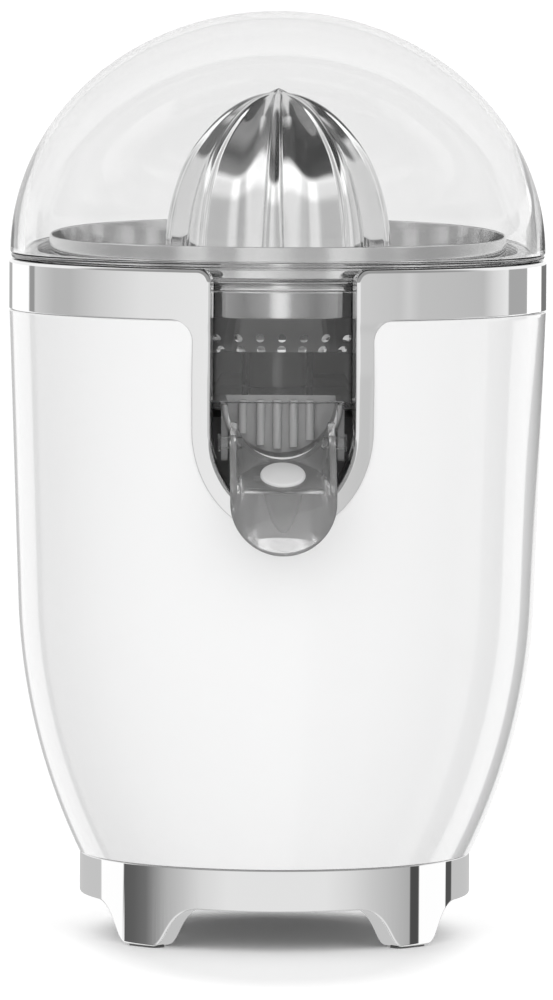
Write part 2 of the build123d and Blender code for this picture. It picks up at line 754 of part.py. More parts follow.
pin_inner_end = spout_half - 2 * spout_wall
with BuildPart() as spout_pins:
    with BuildSketch(Plane.YZ.offset(pin_inner_end)):
        with Locations((pin_y, pin_z)):
            Circle(spout_pin_radius)
    extrude(amount=gully_half + bowl_wall + part_gap - pin_inner_end)
    with BuildSketch(Plane.YZ.offset(gully_half + bowl_wall + part_gap)):
        with Locations((pin_y, pin_z)):
            Circle(spout_pin_head_radius)
    extrude(amount=spout_pin_head)
    mirror(about=Plane.YZ)
finish_piece(spout_pins.part, "spout_pins")

seal_plane = Plane(
    origin=(0, -spout_back - seal_setback - seal_length / 2,
            spout_lip_height + spout_wall
            + tan(radians(spout_slope)) * (spout_reach - spout_back - seal_setback - seal_length / 2)),
    x_dir=(1, 0, 0), z_dir=(0, -sin(radians(spout_slope)), cos(radians(spout_slope))))
seal_channel = channel_outline(spout_half - spout_wall - part_gap, spout_center, spout_center + 2 * spout_half)
with BuildPart() as spout_seal:
    with BuildSketch(Plane.XZ.offset(spout_reach)):
        add(seal_channel)
    extrude(amount=spout_length, dir=spout_direction)
    with BuildSketch(seal_plane):
        Ellipse(seal_width / 2, seal_length / 2)
    extrude(amount=seal_thickness, mode=Mode.INTERSECT)
finish_piece(spout_seal.part, "spout_seal")

# Steel strainer dish that hangs on the ledge of the bowl.
collar_bore = tube_radius + loose_gap
strainer_fold = strainer_seat - strainer_fold_drop
with BuildPart() as strainer:
    with BuildSketch(Plane.XZ):
        Polygon((strainer_radius, strainer_top), (strainer_radius, strainer_fold),
                (strainer_floor_radius, strainer_floor), (collar_bore, strainer_floor),
                (collar_bore, strainer_floor + strainer_collar_height),
                (collar_bore + strainer_sheet, strainer_floor + strainer_collar_height),
                (collar_bore + strainer_sheet, strainer_floor + strainer_sheet),
                (strainer_floor_radius - strainer_sheet / 2, strainer_floor + strainer_sheet),
                (strainer_radius - strainer_sheet, strainer_fold + strainer_sheet / 2),
                (strainer_radius - strainer_sheet, strainer_top), align=None)
        with Locations((strainer_flange_radius, strainer_seat)):
            Rectangle(strainer_flange_radius - strainer_radius + strainer_sheet / 2, strainer_sheet,
                      align=(Align.MAX, Align.MIN))
    revolve(axis=Axis.Z)
    wall_row_share = strainer_wall_row_drop / (strainer_fold - strainer_floor)
    wall_row_radius = strainer_radius - (strainer_radius - strainer_floor_radius) * wall_row_share
    with BuildSketch(Plane.XY.offset(strainer_floor - strainer_sheet)):
        with PolarLocations(wall_row_radius, strainer_wall_holes):
            Circle(strainer_hole_radius)
        for row in range(strainer_floor_rows):
            row_radius = strainer_floor_radius - strainer_row_step * (row + 0.6)
            row_holes = int(2 * pi * row_radius / strainer_row_step)
            with PolarLocations(row_radius, row_holes):
                Circle(strainer_hole_radius)
    extrude(amount=strainer_fold - strainer_floor, mode=Mode.SUBTRACT)
finish_piece(strainer.part, "strainer")

# Ribbed reamer: a hollow cone with tapering blades that run up to the tip.
dome_base = reamer_bottom + reamer_skirt
dome_top = dome_base + reamer_dome
valley_radius = reamer_radius - reamer_valley_depth
hollow_radius = valley_radius - reamer_wall


def dome_outline(radius, height):
    """Draw half of the dome with its short skirt, from the axis outwards."""
    with BuildSketch() as outline:
        with BuildLine():
            Bezier(*quarter_ellipse(radius, height, dome_base))
            Polyline((0, dome_base + height), (0, reamer_bottom), (radius, reamer_bottom), (radius, dome_base))
        make_face()
    return outline.sketch


rib_profile = dome_outline(reamer_radius, reamer_dome)
valley_profile = dome_outline(valley_radius, reamer_dome - reamer_valley_depth)
hollow_profile = dome_outline(hollow_radius, reamer_dome - 2 * reamer_valley_depth)
with BuildPart() as rib:
    with BuildSketch(Plane.XZ):
        add(rib_profile)
    extrude(amount=reamer_rib_width / 2, both=True)
    with BuildSketch(Plane.YZ):
        Polygon((-reamer_rib_width / 2, reamer_bottom), (reamer_rib_width / 2, reamer_bottom),
                (reamer_rib_tip_width / 2, dome_top), (-reamer_rib_tip_width / 2, dome_top), align=None)
    extrude(amount=reamer_radius, mode=Mode.INTERSECT)
with BuildPart() as reamer:
    with BuildSketch(Plane.XZ):
        add(valley_profile)
    revolve(axis=Axis.Z)
    with PolarLocations(0, reamer_ribs, start_angle=-90):
        add(rib.part)
    with BuildSketch(Plane.XZ):
        add(hollow_profile)
    revolve(axis=Axis.Z, mode=Mode.SUBTRACT)
finish_piece(reamer.part, "reamer")

with BuildPart() as reamer_hub:
    with BuildSketch(Plane.XY.offset(reamer_bottom)):
        Circle(hollow_radius - part_gap)
    extrude(amount=hub_flange)
    with BuildSketch(Plane.XY.offset(reamer_bottom)):
        Circle(hub_radius)
    extrude(amount=hub_height)
    with BuildSketch(Plane.XY.offset(reamer_bottom)):
        Circle(shaft_radius + running_gap)
    extrude(amount=2 * hub_flange + running_gap, mode=Mode.SUBTRACT)
    with BuildSketch(Plane.XY.offset(reamer_bottom)):
        RegularPolygon(shaft_radius + running_gap, 6)
    extrude(amount=shaft_engagement + seat_gap, mode=Mode.SUBTRACT)
finish_piece(reamer_hub.part, "reamer_hub")

# Clear dome that rests on the bowl's flange.
with BuildPart() as lid:
    with BuildSketch(Plane.XZ):
        with BuildLine():
            Bezier(*quarter_ellipse(lid_radius, lid_height, lid_bottom))
            Line((0, lid_bottom + lid_height), (0, lid_bottom + lid_height - lid_wall))
            Bezier(*quarter_ellipse(lid_radius - lid_wall, lid_height - lid_wall, lid_bottom))
            Line((lid_radius - lid_wall, lid_bottom), (lid_radius, lid_bottom))
        make_face()
    revolve(axis=Axis.Z)
finish_piece(lid.part, "lid")
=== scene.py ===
import json
from math import acos, asin, atan2, cos, degrees, pi, radians, sin, sqrt, tan

import bmesh
import bpy
from mathutils import Matrix, Vector


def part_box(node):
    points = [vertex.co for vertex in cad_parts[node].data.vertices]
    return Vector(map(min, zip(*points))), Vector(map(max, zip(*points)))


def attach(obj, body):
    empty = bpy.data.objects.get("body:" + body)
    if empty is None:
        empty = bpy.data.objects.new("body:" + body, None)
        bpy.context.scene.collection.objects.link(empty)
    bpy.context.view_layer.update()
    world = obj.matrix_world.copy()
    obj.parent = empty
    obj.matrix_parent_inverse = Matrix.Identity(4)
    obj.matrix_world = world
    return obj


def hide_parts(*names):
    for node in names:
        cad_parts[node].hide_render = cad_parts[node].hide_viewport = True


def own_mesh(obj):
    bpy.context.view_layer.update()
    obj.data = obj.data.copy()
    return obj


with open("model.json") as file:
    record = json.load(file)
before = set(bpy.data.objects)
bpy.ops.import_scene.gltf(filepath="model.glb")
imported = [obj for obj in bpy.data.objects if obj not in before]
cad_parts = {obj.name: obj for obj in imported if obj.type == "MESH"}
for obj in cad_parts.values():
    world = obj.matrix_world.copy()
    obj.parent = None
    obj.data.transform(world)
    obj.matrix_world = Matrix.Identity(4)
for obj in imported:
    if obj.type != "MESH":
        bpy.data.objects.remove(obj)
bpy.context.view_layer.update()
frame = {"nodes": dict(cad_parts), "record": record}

# Sizes below are in millimetres, in the frame of the solids. The front faces -Y.
MM = 0.001
TINY = 1e-6
SPLIT_GAP = 1e-5
SEGMENTS = 256
ARC_STEPS = 48
SLOT_STEPS = 60
BEVEL_STEPS = 3
BEVEL_ANGLE = radians(40)
SMOOTH_ANGLE = radians(32)
NORMAL_WEIGHT = 100
# Rounding of corners: the most of a side that a corner takes, and the angle that counts as flat
CORNER_REACH = 0.45
FLAT_CORNER = radians(165)

SHELL_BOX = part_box("body_shell")
BAND_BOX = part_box("trim_band")
LID_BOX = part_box("lid")
BOWL_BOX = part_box("juice_bowl")
STRAINER_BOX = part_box("strainer")
REAMER_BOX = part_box("reamer")
BASE_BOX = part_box("base_ring")
SPOUT_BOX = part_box("spout")


def low_z(box):
    """Lowest height of a node."""
    return box[0][2] / MM


def high_z(box):
    """Greatest height of a node."""
    return box[1][2] / MM


def half_x(box):
    """Half of a node's width."""
    return (box[1][0] - box[0][0]) / MM / 2


# White shell
SHELL_BOTTOM = low_z(SHELL_BOX)
SHELL_TOP = high_z(SHELL_BOX)
SHELL_TOP_RADIUS = half_x(SHELL_BOX)
SHELL_SHOULDER_RADIUS = 79.8
SHELL_SHOULDER = SHELL_BOTTOM + 77.3
SHELL_FOOT_RADIUS = 60.8
SHELL_WALL = 2.8
SHELL_ARC_STEPS = 64
SHELL_EDGE = 0.6
SHELL_EDGE_STEPS = 4

# Bright band and the surround of the slot
BAND_TOP = high_z(BAND_BOX)
BAND_RADIUS = half_x(BAND_BOX)
BAND_DEPTH = 3.6
LIP_DEPTH = 6.2
LIP_DRAFT = 0.65
BAND_INNER_ROUND = 1.2
BAND_OUTER_ROUND = 0.5
SLOT_HALF = 22.0
SURROUND_WIDTH = 5.5
SURROUND_PROUD = 0.6
SURROUND_BLEND = 20.0
SLOT_ARC_TOP = SHELL_TOP - 33.0
SLOT_ARC_HEIGHT = 26.0
SLOT_CORNER = 4.0
SURROUND_FLARE = 6.5
SURROUND_LAP = 1.5
ROUND_STEPS = 6
CORNER_STEPS = 10
FLARE_STEPS = 14
BLEND_STEPS = 10

# Base
BASE_BOTTOM = low_z(BASE_BOX)
BASE_TOP = high_z(BASE_BOX)
BASE_RADIUS = half_x(BASE_BOX)
BASE_WALL = 8.0
BASE_EDGE = 0.7
ARCH_TOP = BASE_BOTTOM + 12.1
ARCH_CROWN = 24.5
ARCH_FOOT = 38.1
ARCH_BEND = 34.0
ARCH_FOOT_RISE = 0.9
ARCH_STEPS = 24
BASE_SCREW_HEAD = 3.1
BASE_SCREW_DEPTH = 2.2
SCREW_OVERLAP = 2
SCREW_SIDES = 48

# Lid, bowl, strainer and reamer
LID_WALL = 2.2
LID_RIM_EXTRA = 2.0
LID_WEDGE = 34.0
LID_SOFTNESS = 0.02
LID_STEPS = 96
LID_BOTTOM = low_z(LID_BOX)
LID_HEIGHT = high_z(LID_BOX) - LID_BOTTOM
LID_RADIUS = half_x(LID_BOX)
BOWL_TOP = high_z(BOWL_BOX)
BOWL_FLANGE = 1.7
BOWL_FLANGE_RADIUS = half_x(BOWL_BOX)
BOWL_RADIUS = 76.0
BOWL_WALL = 2.0
STRAINER_TOP = high_z(STRAINER_BOX)
STRAINER_FLOOR = low_z(STRAINER_BOX)
REAMER_BOTTOM = low_z(REAMER_BOX)
REAMER_TOP = high_z(REAMER_BOX)
REAMER_RADIUS = half_x(REAMER_BOX) + 0.8


def linked(name, data):
    """A new object in the scene."""
    item = bpy.data.objects.new(name, data)
    bpy.context.collection.objects.link(item)
    return item


def new_object(name, mesh, body):
    """Link a mesh as a piece that rides on a body."""
    piece = linked(name, mesh)
    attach(piece, body)
    return piece


def to_mesh(name, build):
    """Turn a build into a mesh and free it."""
    mesh = bpy.data.meshes.new(name)
    build.to_mesh(mesh)
    build.free()
    return mesh


def smooth(mesh, angle=SMOOTH_ANGLE):
    """Shade a mesh smooth, with sharp edges above an angle."""
    mesh.shade_smooth()
    mesh.set_sharp_from_angle(angle=angle)


def arc_points(center, radius_x, radius_y, start, end, steps):
    """Points on an ellipse from one angle to another, in degrees."""
    points = []
    for step in range(steps + 1):
        angle = radians(start + (end - start) * step / steps)
        points.append((center[0] + radius_x * cos(angle), center[1] + radius_y * sin(angle)))
    return points


def rounded(points, radius, steps=5):
    """Round each corner of a closed outline, as far as its sides allow."""
    result = []
    count = len(points)
    for index in range(count):
        here = Vector(points[index])
        before = Vector(points[index - 1]) - here
        after = Vector(points[(index + 1) % count]) - here
        turn = before.angle(after)
        if turn > FLAT_CORNER:
            result.append(tuple(here))
            continue
        side = min(before.length, after.length)
        reach = min(radius / tan(turn / 2), CORNER_REACH * side)
        start = here + before.normalized() * reach
        end = here + after.normalized() * reach
        for step in range(steps + 1):
            share = step / steps
            rest = 1 - share
            point = start * rest ** 2 + here * 2 * share * rest + end * share ** 2
            result.append(tuple(point))
    return result


def bridge(build, first, second, closed=True):
    """Add the faces between two rings or open lines of points, without repeated corners."""
    count = len(first)
    faces = []
    for index in range(count if closed else count - 1):
        after = (index + 1) % count
        corners = dict.fromkeys((first[index], first[after], second[after], second[index]))
        if len(corners) > 2:
            faces.append(build.faces.new(list(corners)))
    return faces


def lathe(name, outline, segments=SEGMENTS):
    """Turn a closed outline of (radius, height) points about the Z axis."""
    build = bmesh.new()
    rings = []
    for radius, height in outline:
        if radius < TINY:
            rings.append([build.verts.new((0, 0, height * MM))] * segments)
            continue
        ring = []
        for step in range(segments):
            angle = 2 * pi * step / segments
            place = (radius * sin(angle) * MM, -radius * cos(angle) * MM, height * MM)
            ring.append(build.verts.new(place))
        rings.append(ring)
    for lower, upper in zip(rings, rings[1:] + rings[:1]):
        bridge(build, lower, upper)
    bmesh.ops.recalc_face_normals(build, faces=build.faces)
    return to_mesh(name, build)


def prism(name, outline, near, far):
    """Extrude an outline seen from the front, from one Y to another."""
    build = bmesh.new()
    ends = []
    for depth in (near, far):
        ring = [build.verts.new(Vector((across, depth, height)) * MM) for across, height in outline]
        ends.append(ring)
        build.faces.new(ring)
    bridge(build, ends[0], ends[1])
    bmesh.ops.recalc_face_normals(build, faces=build.faces)
    return to_mesh(name, build)


def combine(name, first, second, operation):
    """Join, cut or intersect two meshes and return the result as a new mesh."""
    holder = linked(name, first)
    tool = linked(name + "_tool", second)
    change = holder.modifiers.new("combine", "BOOLEAN")
    change.operation = operation
    change.solver = "EXACT"
    change.object = tool
    return baked(name, holder, [tool])


def beveled(name, mesh, width):
    """Round the sharp edges of a mesh."""
    holder = linked(name, mesh)
    change = holder.modifiers.new("bevel", "BEVEL")
    change.width = width * MM
    change.segments = BEVEL_STEPS
    change.limit_method = "ANGLE"
    change.angle_limit = BEVEL_ANGLE
    change.harden_normals = True
    return baked(name, holder, [])


def baked(name, holder, tools):
    """Apply an object's modifiers, drop the helpers and return the mesh."""
    bpy.context.view_layer.update()
    graph = bpy.context.evaluated_depsgraph_get()
    mesh = bpy.data.meshes.new_from_object(holder.evaluated_get(graph))
    mesh.name = name
    for item in [holder] + tools:
        bpy.data.objects.remove(item)
    return mesh


def shell_curve(inset):
    """The shell's side from top to foot, moved in: a straight flank and then a tangent arc."""
    steps = SHELL_ARC_STEPS
    top = Vector((SHELL_TOP_RADIUS, SHELL_TOP))
    shoulder = Vector((SHELL_SHOULDER_RADIUS, SHELL_SHOULDER))
    foot = Vector((SHELL_FOOT_RADIUS, SHELL_BOTTOM))
    along = (shoulder - top).normalized()
    inward = Vector((along.y, -along.x))
    chord = foot - shoulder
    radius = chord.length_squared / (2 * chord.dot(inward))
    center = shoulder + inward * radius
    sweep = 2 * (pi / 2 - acos(chord.length / (2 * radius)))
    points = [top.lerp(shoulder, step / steps) for step in range(steps)]
    for step in range(steps + 1):
        turn = Matrix.Rotation(-sweep * step / steps, 2)
        points.append(center + turn @ (shoulder - center))
    return [(point.x - inset, point.y) for point in points]


def u_outline(half, drop, center, top):
    """A U seen from the front: straight sides over a half ellipse."""
    return arc_points((0, center), half, drop, 180, 360, ARC_STEPS) + [(half, top), (-half, top)]


def make_body_shell():
    """White shell with the slot cut out of its front, under the lap of the surround."""
    edge_center = (SHELL_TOP_RADIUS - SHELL_EDGE, SHELL_TOP - SHELL_EDGE)
    outer = arc_points(edge_center, SHELL_EDGE, SHELL_EDGE, 90, 10, SHELL_EDGE_STEPS)
    outer += [point for point in shell_curve(0) if point[1] < SHELL_TOP - SHELL_EDGE]
    inner = shell_curve(SHELL_WALL)
    mesh = lathe("body_shell_skin", outer + list(reversed(inner)))
    half = SLOT_HALF + SURROUND_WIDTH - SURROUND_LAP
    drop = SLOT_ARC_HEIGHT + SURROUND_WIDTH - SURROUND_LAP
    opening = u_outline(half, drop, SLOT_ARC_TOP, BAND_TOP)
    cut = prism("slot_cut", opening, -2 * BAND_RADIUS, 0)
    mesh = combine("body_shell_skin", mesh, cut, "DIFFERENCE")
    mesh = weighted("body_shell_skin", mesh)
    piece = new_object("body_shell_skin", mesh, "root")
    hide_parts("body_shell")
    return piece


def weighted(name, mesh):
    """Shade a mesh smooth, with normals that follow its large faces."""
    smooth(mesh)
    holder = linked(name, mesh)
    change = holder.modifiers.new("weigh", "WEIGHTED_NORMAL")
    change.weight = NORMAL_WEIGHT
    change.keep_sharp = True
    return baked(name, holder, [])


def inset_line(line, side, inset):
    """Move an open line of points to one side by an inset."""
    moved = []
    for index, point in enumerate(line):
        before = Vector(point) - Vector(line[max(index - 1, 0)])
        after = Vector(line[min(index + 1, len(line) - 1)]) - Vector(point)
        along = (before.normalized() + after.normalized()).normalized()
        moved.append((point[0] - side * along.y * inset, point[1] + side * along.x * inset))
    return moved


def wrapped_plate(name, upper, lower, skin, depth, rounds, levels=(), back=None):
    """A closed plate wrapped round the axis between two edge lines, with rounded edges.

    The lines run once round from the seam at the back, by the left, as distances and heights.
    The skin gives the outer radius at a height, the rounds are the radii of the upper and lower
    edge, and the plate is split at the levels. The back, if any, gives the upper line's rear edge
    as distances, heights and depths.
    """
    build = bmesh.new()
    edges = []
    for line, side, radius in ((upper, -1, rounds[0]), (lower, 1, rounds[1])):
        rear = [(across, height, -depth) for across, height in line]
        if back and line is upper:
            rear = back
        loops = [[build.verts.new(place) for place in rear]]
        for step in range(ROUND_STEPS + 1):
            angle = pi / 2 * step / ROUND_STEPS
            moved = inset_line(line, side, radius * (1 - cos(angle)))
            rise = radius * (sin(angle) - 1)
            loops.append([build.verts.new((across, height, rise)) for across, height in moved])
        for first, second in zip(loops, loops[1:]):
            bridge(build, first, second, closed=False)
        edges.append(loops)
    for level in (0, -1):
        build.faces.new(edges[0][level] + list(reversed(edges[1][level])))
    reach = -upper[0][0]
    for step in range(1, SEGMENTS):
        place = reach * (2 * step / SEGMENTS - 1)
        cut_flat(build, (place, 0, 0), (1, 0, 0))
    for height in levels:
        cut_flat(build, (0, height, 0), (0, 1, 0))
    for vertex in build.verts:
        across, height, rise = vertex.co
        turn = pi * across / reach
        radius = skin(height) + rise
        vertex.co = Vector((radius * sin(turn), -radius * cos(turn), height)) * MM
    bmesh.ops.remove_doubles(build, verts=build.verts, dist=TINY)
    bmesh.ops.recalc_face_normals(build, faces=build.faces)
    return to_mesh(name, build)


def cut_flat(build, point, direction):
    """Split every face along a plane."""
    parts = list(build.verts) + list(build.edges) + list(build.faces)
    bmesh.ops.bisect_plane(build, geom=parts, dist=SPLIT_GAP, plane_co=point, plane_no=direction)


def band_skin(height):
    """Outer radius of the band and of the surround below it."""
    below = SHELL_TOP - height
    if below <= 0:
        return BAND_RADIUS
    taper = (SHELL_TOP_RADIUS - SHELL_SHOULDER_RADIUS) / (SHELL_TOP - SHELL_SHOULDER)
    share = min(1.0, below / SURROUND_BLEND)
    lift = SURROUND_PROUD * share * share * (3 - 2 * share)
    return BAND_RADIUS - taper * below + lift


def band_line(middle, side, top):
    """Turn a middle seen from the front and its sides into a line round the band, from the back."""
    reach = pi * BAND_RADIUS
    line = [(-across, height) for across, height in reversed(side)] + middle + side
    line = [(BAND_RADIUS * asin(across / band_skin(height)), height) for across, height in line]
    return [(-reach, top)] + line + [(reach, top)]


def make_trim_band():
    """Bright band with the U-shaped surround of the slot, as one wrapped plate."""
    inner = arc_points((0, SLOT_ARC_TOP), SLOT_HALF, SLOT_ARC_HEIGHT, 180, 360, SLOT_STEPS)
    corner_center = (SLOT_HALF + SLOT_CORNER, BAND_TOP - SLOT_CORNER)
    corner = arc_points(corner_center, SLOT_CORNER, SLOT_CORNER, 180, 90, CORNER_STEPS)
    upper = band_line(inner, corner, BAND_TOP)
    outer_half = SLOT_HALF + SURROUND_WIDTH
    outer_height = SLOT_ARC_HEIGHT + SURROUND_WIDTH
    outer = arc_points((0, SLOT_ARC_TOP), outer_half, outer_height, 180, 360, SLOT_STEPS)
    flare_center = (outer_half + SURROUND_FLARE, SHELL_TOP - SURROUND_FLARE)
    flare = arc_points(flare_center, SURROUND_FLARE, SURROUND_FLARE, 180, 90, FLARE_STEPS)
    lower = band_line(outer, flare, SHELL_TOP)
    levels = [SHELL_TOP - SURROUND_BLEND * step / BLEND_STEPS for step in range(BLEND_STEPS + 1)]
    back = []
    for (across, height), (drawn, drawn_height) in zip(upper, inset_line(upper, -1, LIP_DRAFT)):
        in_slot = height < BAND_TOP - SLOT_CORNER / 2
        back.append((drawn, drawn_height, -LIP_DEPTH) if in_slot else (across, height, -BAND_DEPTH))
    mesh = wrapped_plate("trim_band_skin", upper, lower, band_skin, BAND_DEPTH,
                         (BAND_INNER_ROUND, BAND_OUTER_ROUND), levels, back)
    mesh = weighted("trim_band_skin", mesh)
    piece = new_object("trim_band_skin", mesh, "root")
    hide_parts("trim_band")
    return piece


def bezier_points(first, second, third, fourth, steps):
    """Points on a four-point curve, without its last point."""
    points = []
    for step in range(steps):
        share = step / steps
        rest = 1 - share
        point = (Vector(first) * rest ** 3 + Vector(second) * 3 * share * rest ** 2
                 + Vector(third) * 3 * share ** 2 * rest + Vector(fourth) * share ** 3)
        points.append(tuple(point))
    return points


def ring_places(radius, height, count):
    """Places spread evenly round the axis."""
    places = []
    for step in range(count):
        angle = 2 * pi * step / count
        place = Vector((radius * cos(angle), radius * sin(angle), height)) * MM
        places.append(Matrix.Translation(place))
    return places


def rods(name, places, radius, length, sides):
    """A mesh of upright cylinders, each moved and turned to its place."""
    build = bmesh.new()
    for place in places:
        bmesh.ops.create_cone(build, cap_ends=True, segments=sides, radius1=radius * MM,
                              radius2=radius * MM, depth=length * MM, matrix=place)
    return to_mesh(name, build)


def make_base_ring():
    """Bright base on four feet, as one wrapped plate with four arches."""
    reach = pi * BASE_RADIUS
    side = [(0, ARCH_TOP)]
    side += bezier_points((ARCH_CROWN, ARCH_TOP), (ARCH_BEND, ARCH_TOP),
                          (ARCH_BEND, BASE_BOTTOM + ARCH_FOOT_RISE), (ARCH_FOOT, BASE_BOTTOM),
                          ARCH_STEPS)
    side.append((ARCH_FOOT, BASE_BOTTOM))
    side = [(BASE_RADIUS * asin(across / BASE_RADIUS), height) for across, height in side]
    lower = [(across - reach, height) for across, height in side]
    for quarter in (-1, 0, 1):
        center = quarter * reach / 2
        lower += [(center - across, height) for across, height in reversed(side)]
        lower += [(center + across, height) for across, height in side[1:]]
    lower += [(reach - across, height) for across, height in reversed(side)]
    upper = [(-reach, BASE_TOP), (reach, BASE_TOP)]
    mesh = wrapped_plate("base_ring_skin", upper, lower, lambda height: BASE_RADIUS, BASE_WALL,
                         (BASE_EDGE, BASE_EDGE))
    height = ARCH_TOP + BASE_SCREW_DEPTH / 2 - SCREW_OVERLAP / 2
    recesses = rods("screw_recesses", ring_places(BASE_RADIUS - BASE_WALL / 2, height, 4),
                    BASE_SCREW_HEAD, BASE_SCREW_DEPTH + SCREW_OVERLAP, SCREW_SIDES)
    mesh = combine("base_ring_skin", mesh, recesses, "DIFFERENCE")
    mesh = weighted("base_ring_skin", mesh)
    piece = new_object("base_ring_skin", mesh, "root")
    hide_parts("base_ring")
    return piece


def make_lid():
    """Clear dome whose wall thickens towards its rim."""
    center = (0, LID_BOTTOM)
    outer = arc_points(center, LID_RADIUS, LID_HEIGHT, 0, 90, LID_STEPS)
    curve = arc_points(center, LID_RADIUS - LID_WALL, LID_HEIGHT - LID_WALL, 90, 0, LID_STEPS)
    inner = []
    for radius, height in curve:
        low = 1 - (height - LID_BOTTOM) / LID_WEDGE
        extra = LID_RIM_EXTRA * (low + sqrt(low * low + LID_SOFTNESS)) / 2
        inner.append((max(0.0, radius - extra), height))
    outer[-1] = (0, outer[-1][1])
    inner[0] = (0, inner[0][1])
    mesh = lathe("lid_dome", outer + inner)
    smooth(mesh)
    piece = new_object("lid_dome", mesh, "lid")
    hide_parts("lid")
    return piece


# Bowl, gully and spout
BOWL_FLOOR_TOP = BAND_TOP - 40.4
BOWL_FLOOR = 2.2
TUBE_BORE = 9.1
TUBE_RADIUS = 11.1
TUBE_TOP = BOWL_FLOOR_TOP + 21.0
LEDGE_TOP = BOWL_TOP - 6.9
LEDGE_WIDTH = 2.2
LEDGE_THICKNESS = 1.6
BOWL_EDGE = 0.8
BOWL_ROUND_STEPS = 4
CHANNEL_TOP = BOWL_FLOOR_TOP - 0.3
GULLY_HALF = 16.5
GULLY_BACK = 42.9
GULLY_END = 68.5
FROST_GAP = 0.05
GULLY_CENTER = BOWL_FLOOR_TOP - 16.7 + GULLY_HALF
CHEEK_END = 79.1
CHEEK_HEIGHT = 17.0
CHEEK_LAP = 1
TUBE_SIDES = 16
BEAD_RADIUS = 0.8
BEAD_TOP = BOWL_FLOOR_TOP - 1.2
RIB_RADIUS = 1.3
RIB_PLACES = (-11.5, -6.0, -1.0, 4.0, 9.0)
RIB_TOP = BOWL_FLOOR_TOP - 1.5
SPOUT_HALF = half_x(SPOUT_BOX)
SPOUT_WALL = 2.0
SPOUT_REACH = -SPOUT_BOX[0][1] / MM
SPOUT_BACK = -SPOUT_BOX[1][1] / MM
SPOUT_LIP = low_z(SPOUT_BOX)
SPOUT_SLOPE = tan(radians(45))
SPOUT_LIP_RISE = 19.2
SPOUT_BACK_RISE = 13.2
SPOUT_FLOOR_DROP = 0.6
SPOUT_SECTIONS = 24
SPOUT_ARC_STEPS = 40
SPOUT_EDGE = 0.5


def make_bowl():
    """Clear bowl with rim flange, ledge, centre tube, gully and cheeks."""
    bottom = BOWL_FLOOR_TOP - BOWL_FLOOR
    inner = BOWL_RADIUS - BOWL_WALL
    flange_bottom = BOWL_TOP - BOWL_FLANGE
    ledge_bottom = LEDGE_TOP - LEDGE_THICKNESS
    outline = [
        (TUBE_BORE, bottom), (BOWL_RADIUS, bottom), (BOWL_RADIUS, flange_bottom),
        (BOWL_FLANGE_RADIUS, flange_bottom), (BOWL_FLANGE_RADIUS, BOWL_TOP),
        (inner, BOWL_TOP), (inner, LEDGE_TOP), (inner - LEDGE_WIDTH, LEDGE_TOP),
        (inner - LEDGE_WIDTH, ledge_bottom), (inner, ledge_bottom),
        (inner, BOWL_FLOOR_TOP), (TUBE_RADIUS, BOWL_FLOOR_TOP), (TUBE_RADIUS, TUBE_TOP),
        (TUBE_BORE, TUBE_TOP)]
    mesh = lathe("bowl_body", rounded(outline, BOWL_EDGE, BOWL_ROUND_STEPS))
    half = GULLY_HALF + BOWL_WALL
    channel = u_outline(half, half, GULLY_CENTER, CHANNEL_TOP)
    mesh = combine("bowl_body", mesh, prism("gully", channel, -GULLY_END, -GULLY_BACK), "UNION")
    cheek_bottom = BOWL_FLOOR_TOP - CHEEK_HEIGHT
    for side in (-1, 1):
        low = side * GULLY_HALF
        high = side * half
        plate = [(low, cheek_bottom), (high, cheek_bottom), (high, CHANNEL_TOP), (low, CHANNEL_TOP)]
        cheek = prism("cheek", plate, -CHEEK_END, -GULLY_END + CHEEK_LAP)
        mesh = combine("bowl_body", mesh, cheek, "UNION")
    channel = u_outline(GULLY_HALF, GULLY_HALF, GULLY_CENTER, BOWL_FLOOR_TOP)
    cut = prism("gully_cut", channel, -2 * BAND_RADIUS, -GULLY_BACK - BOWL_WALL)
    mesh = combine("bowl_body", mesh, cut, "DIFFERENCE")
    smooth(mesh)
    piece = new_object("bowl_body", mesh, "bowl")
    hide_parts("juice_bowl")
    return piece


def make_gully_trim():
    """Bead round the gully's mouth and upright ribs at its back, on the clear bowl."""
    build = bmesh.new()
    half = GULLY_HALF + BEAD_RADIUS
    mouth = arc_points((0, GULLY_CENTER), half, half, 180, 360, SLOT_STEPS)
    mouth = [(-half, BEAD_TOP)] + mouth + [(half, BEAD_TOP)]
    add_tube(build, [Vector((across, -GULLY_END, height)) for across, height in mouth], BEAD_RADIUS)
    back = -GULLY_BACK - BOWL_WALL - RIB_RADIUS
    for across in RIB_PLACES:
        low = GULLY_CENTER - sqrt(GULLY_HALF ** 2 - across ** 2) + RIB_RADIUS
        add_tube(build, [Vector((across, back, low)), Vector((across, back, RIB_TOP))], RIB_RADIUS)
    mesh = to_mesh("gully_trim", build)
    smooth(mesh)
    return new_object("gully_trim", mesh, "bowl")


def add_tube(build, path, radius):
    """Add a closed round bar along a path in a plane that faces the front."""
    rings = []
    for index, point in enumerate(path):
        along = (path[min(index + 1, len(path) - 1)] - path[max(index - 1, 0)]).normalized()
        across = along.cross(Vector((0, 1, 0)))
        ring = []
        for step in range(TUBE_SIDES):
            angle = 2 * pi * step / TUBE_SIDES
            offset = (across * cos(angle) + Vector((0, 1, 0)) * sin(angle)) * radius
            ring.append(build.verts.new((point + offset) * MM))
        rings.append(ring)
    faces = [build.faces.new(rings[0]), build.faces.new(rings[-1])]
    for first, second in zip(rings, rings[1:]):
        faces += bridge(build, first, second)
    bmesh.ops.recalc_face_normals(build, faces=faces)


def spout_floor(share):
    """Height of the spout's flat floor, from the edge above its lip (0) to its back end (1)."""
    front = SPOUT_LIP + SPOUT_LIP_RISE - SPOUT_FLOOR_DROP
    back = SPOUT_LIP + SPOUT_SLOPE * (SPOUT_REACH - SPOUT_BACK) + SPOUT_WALL
    return front + share * (back - front)


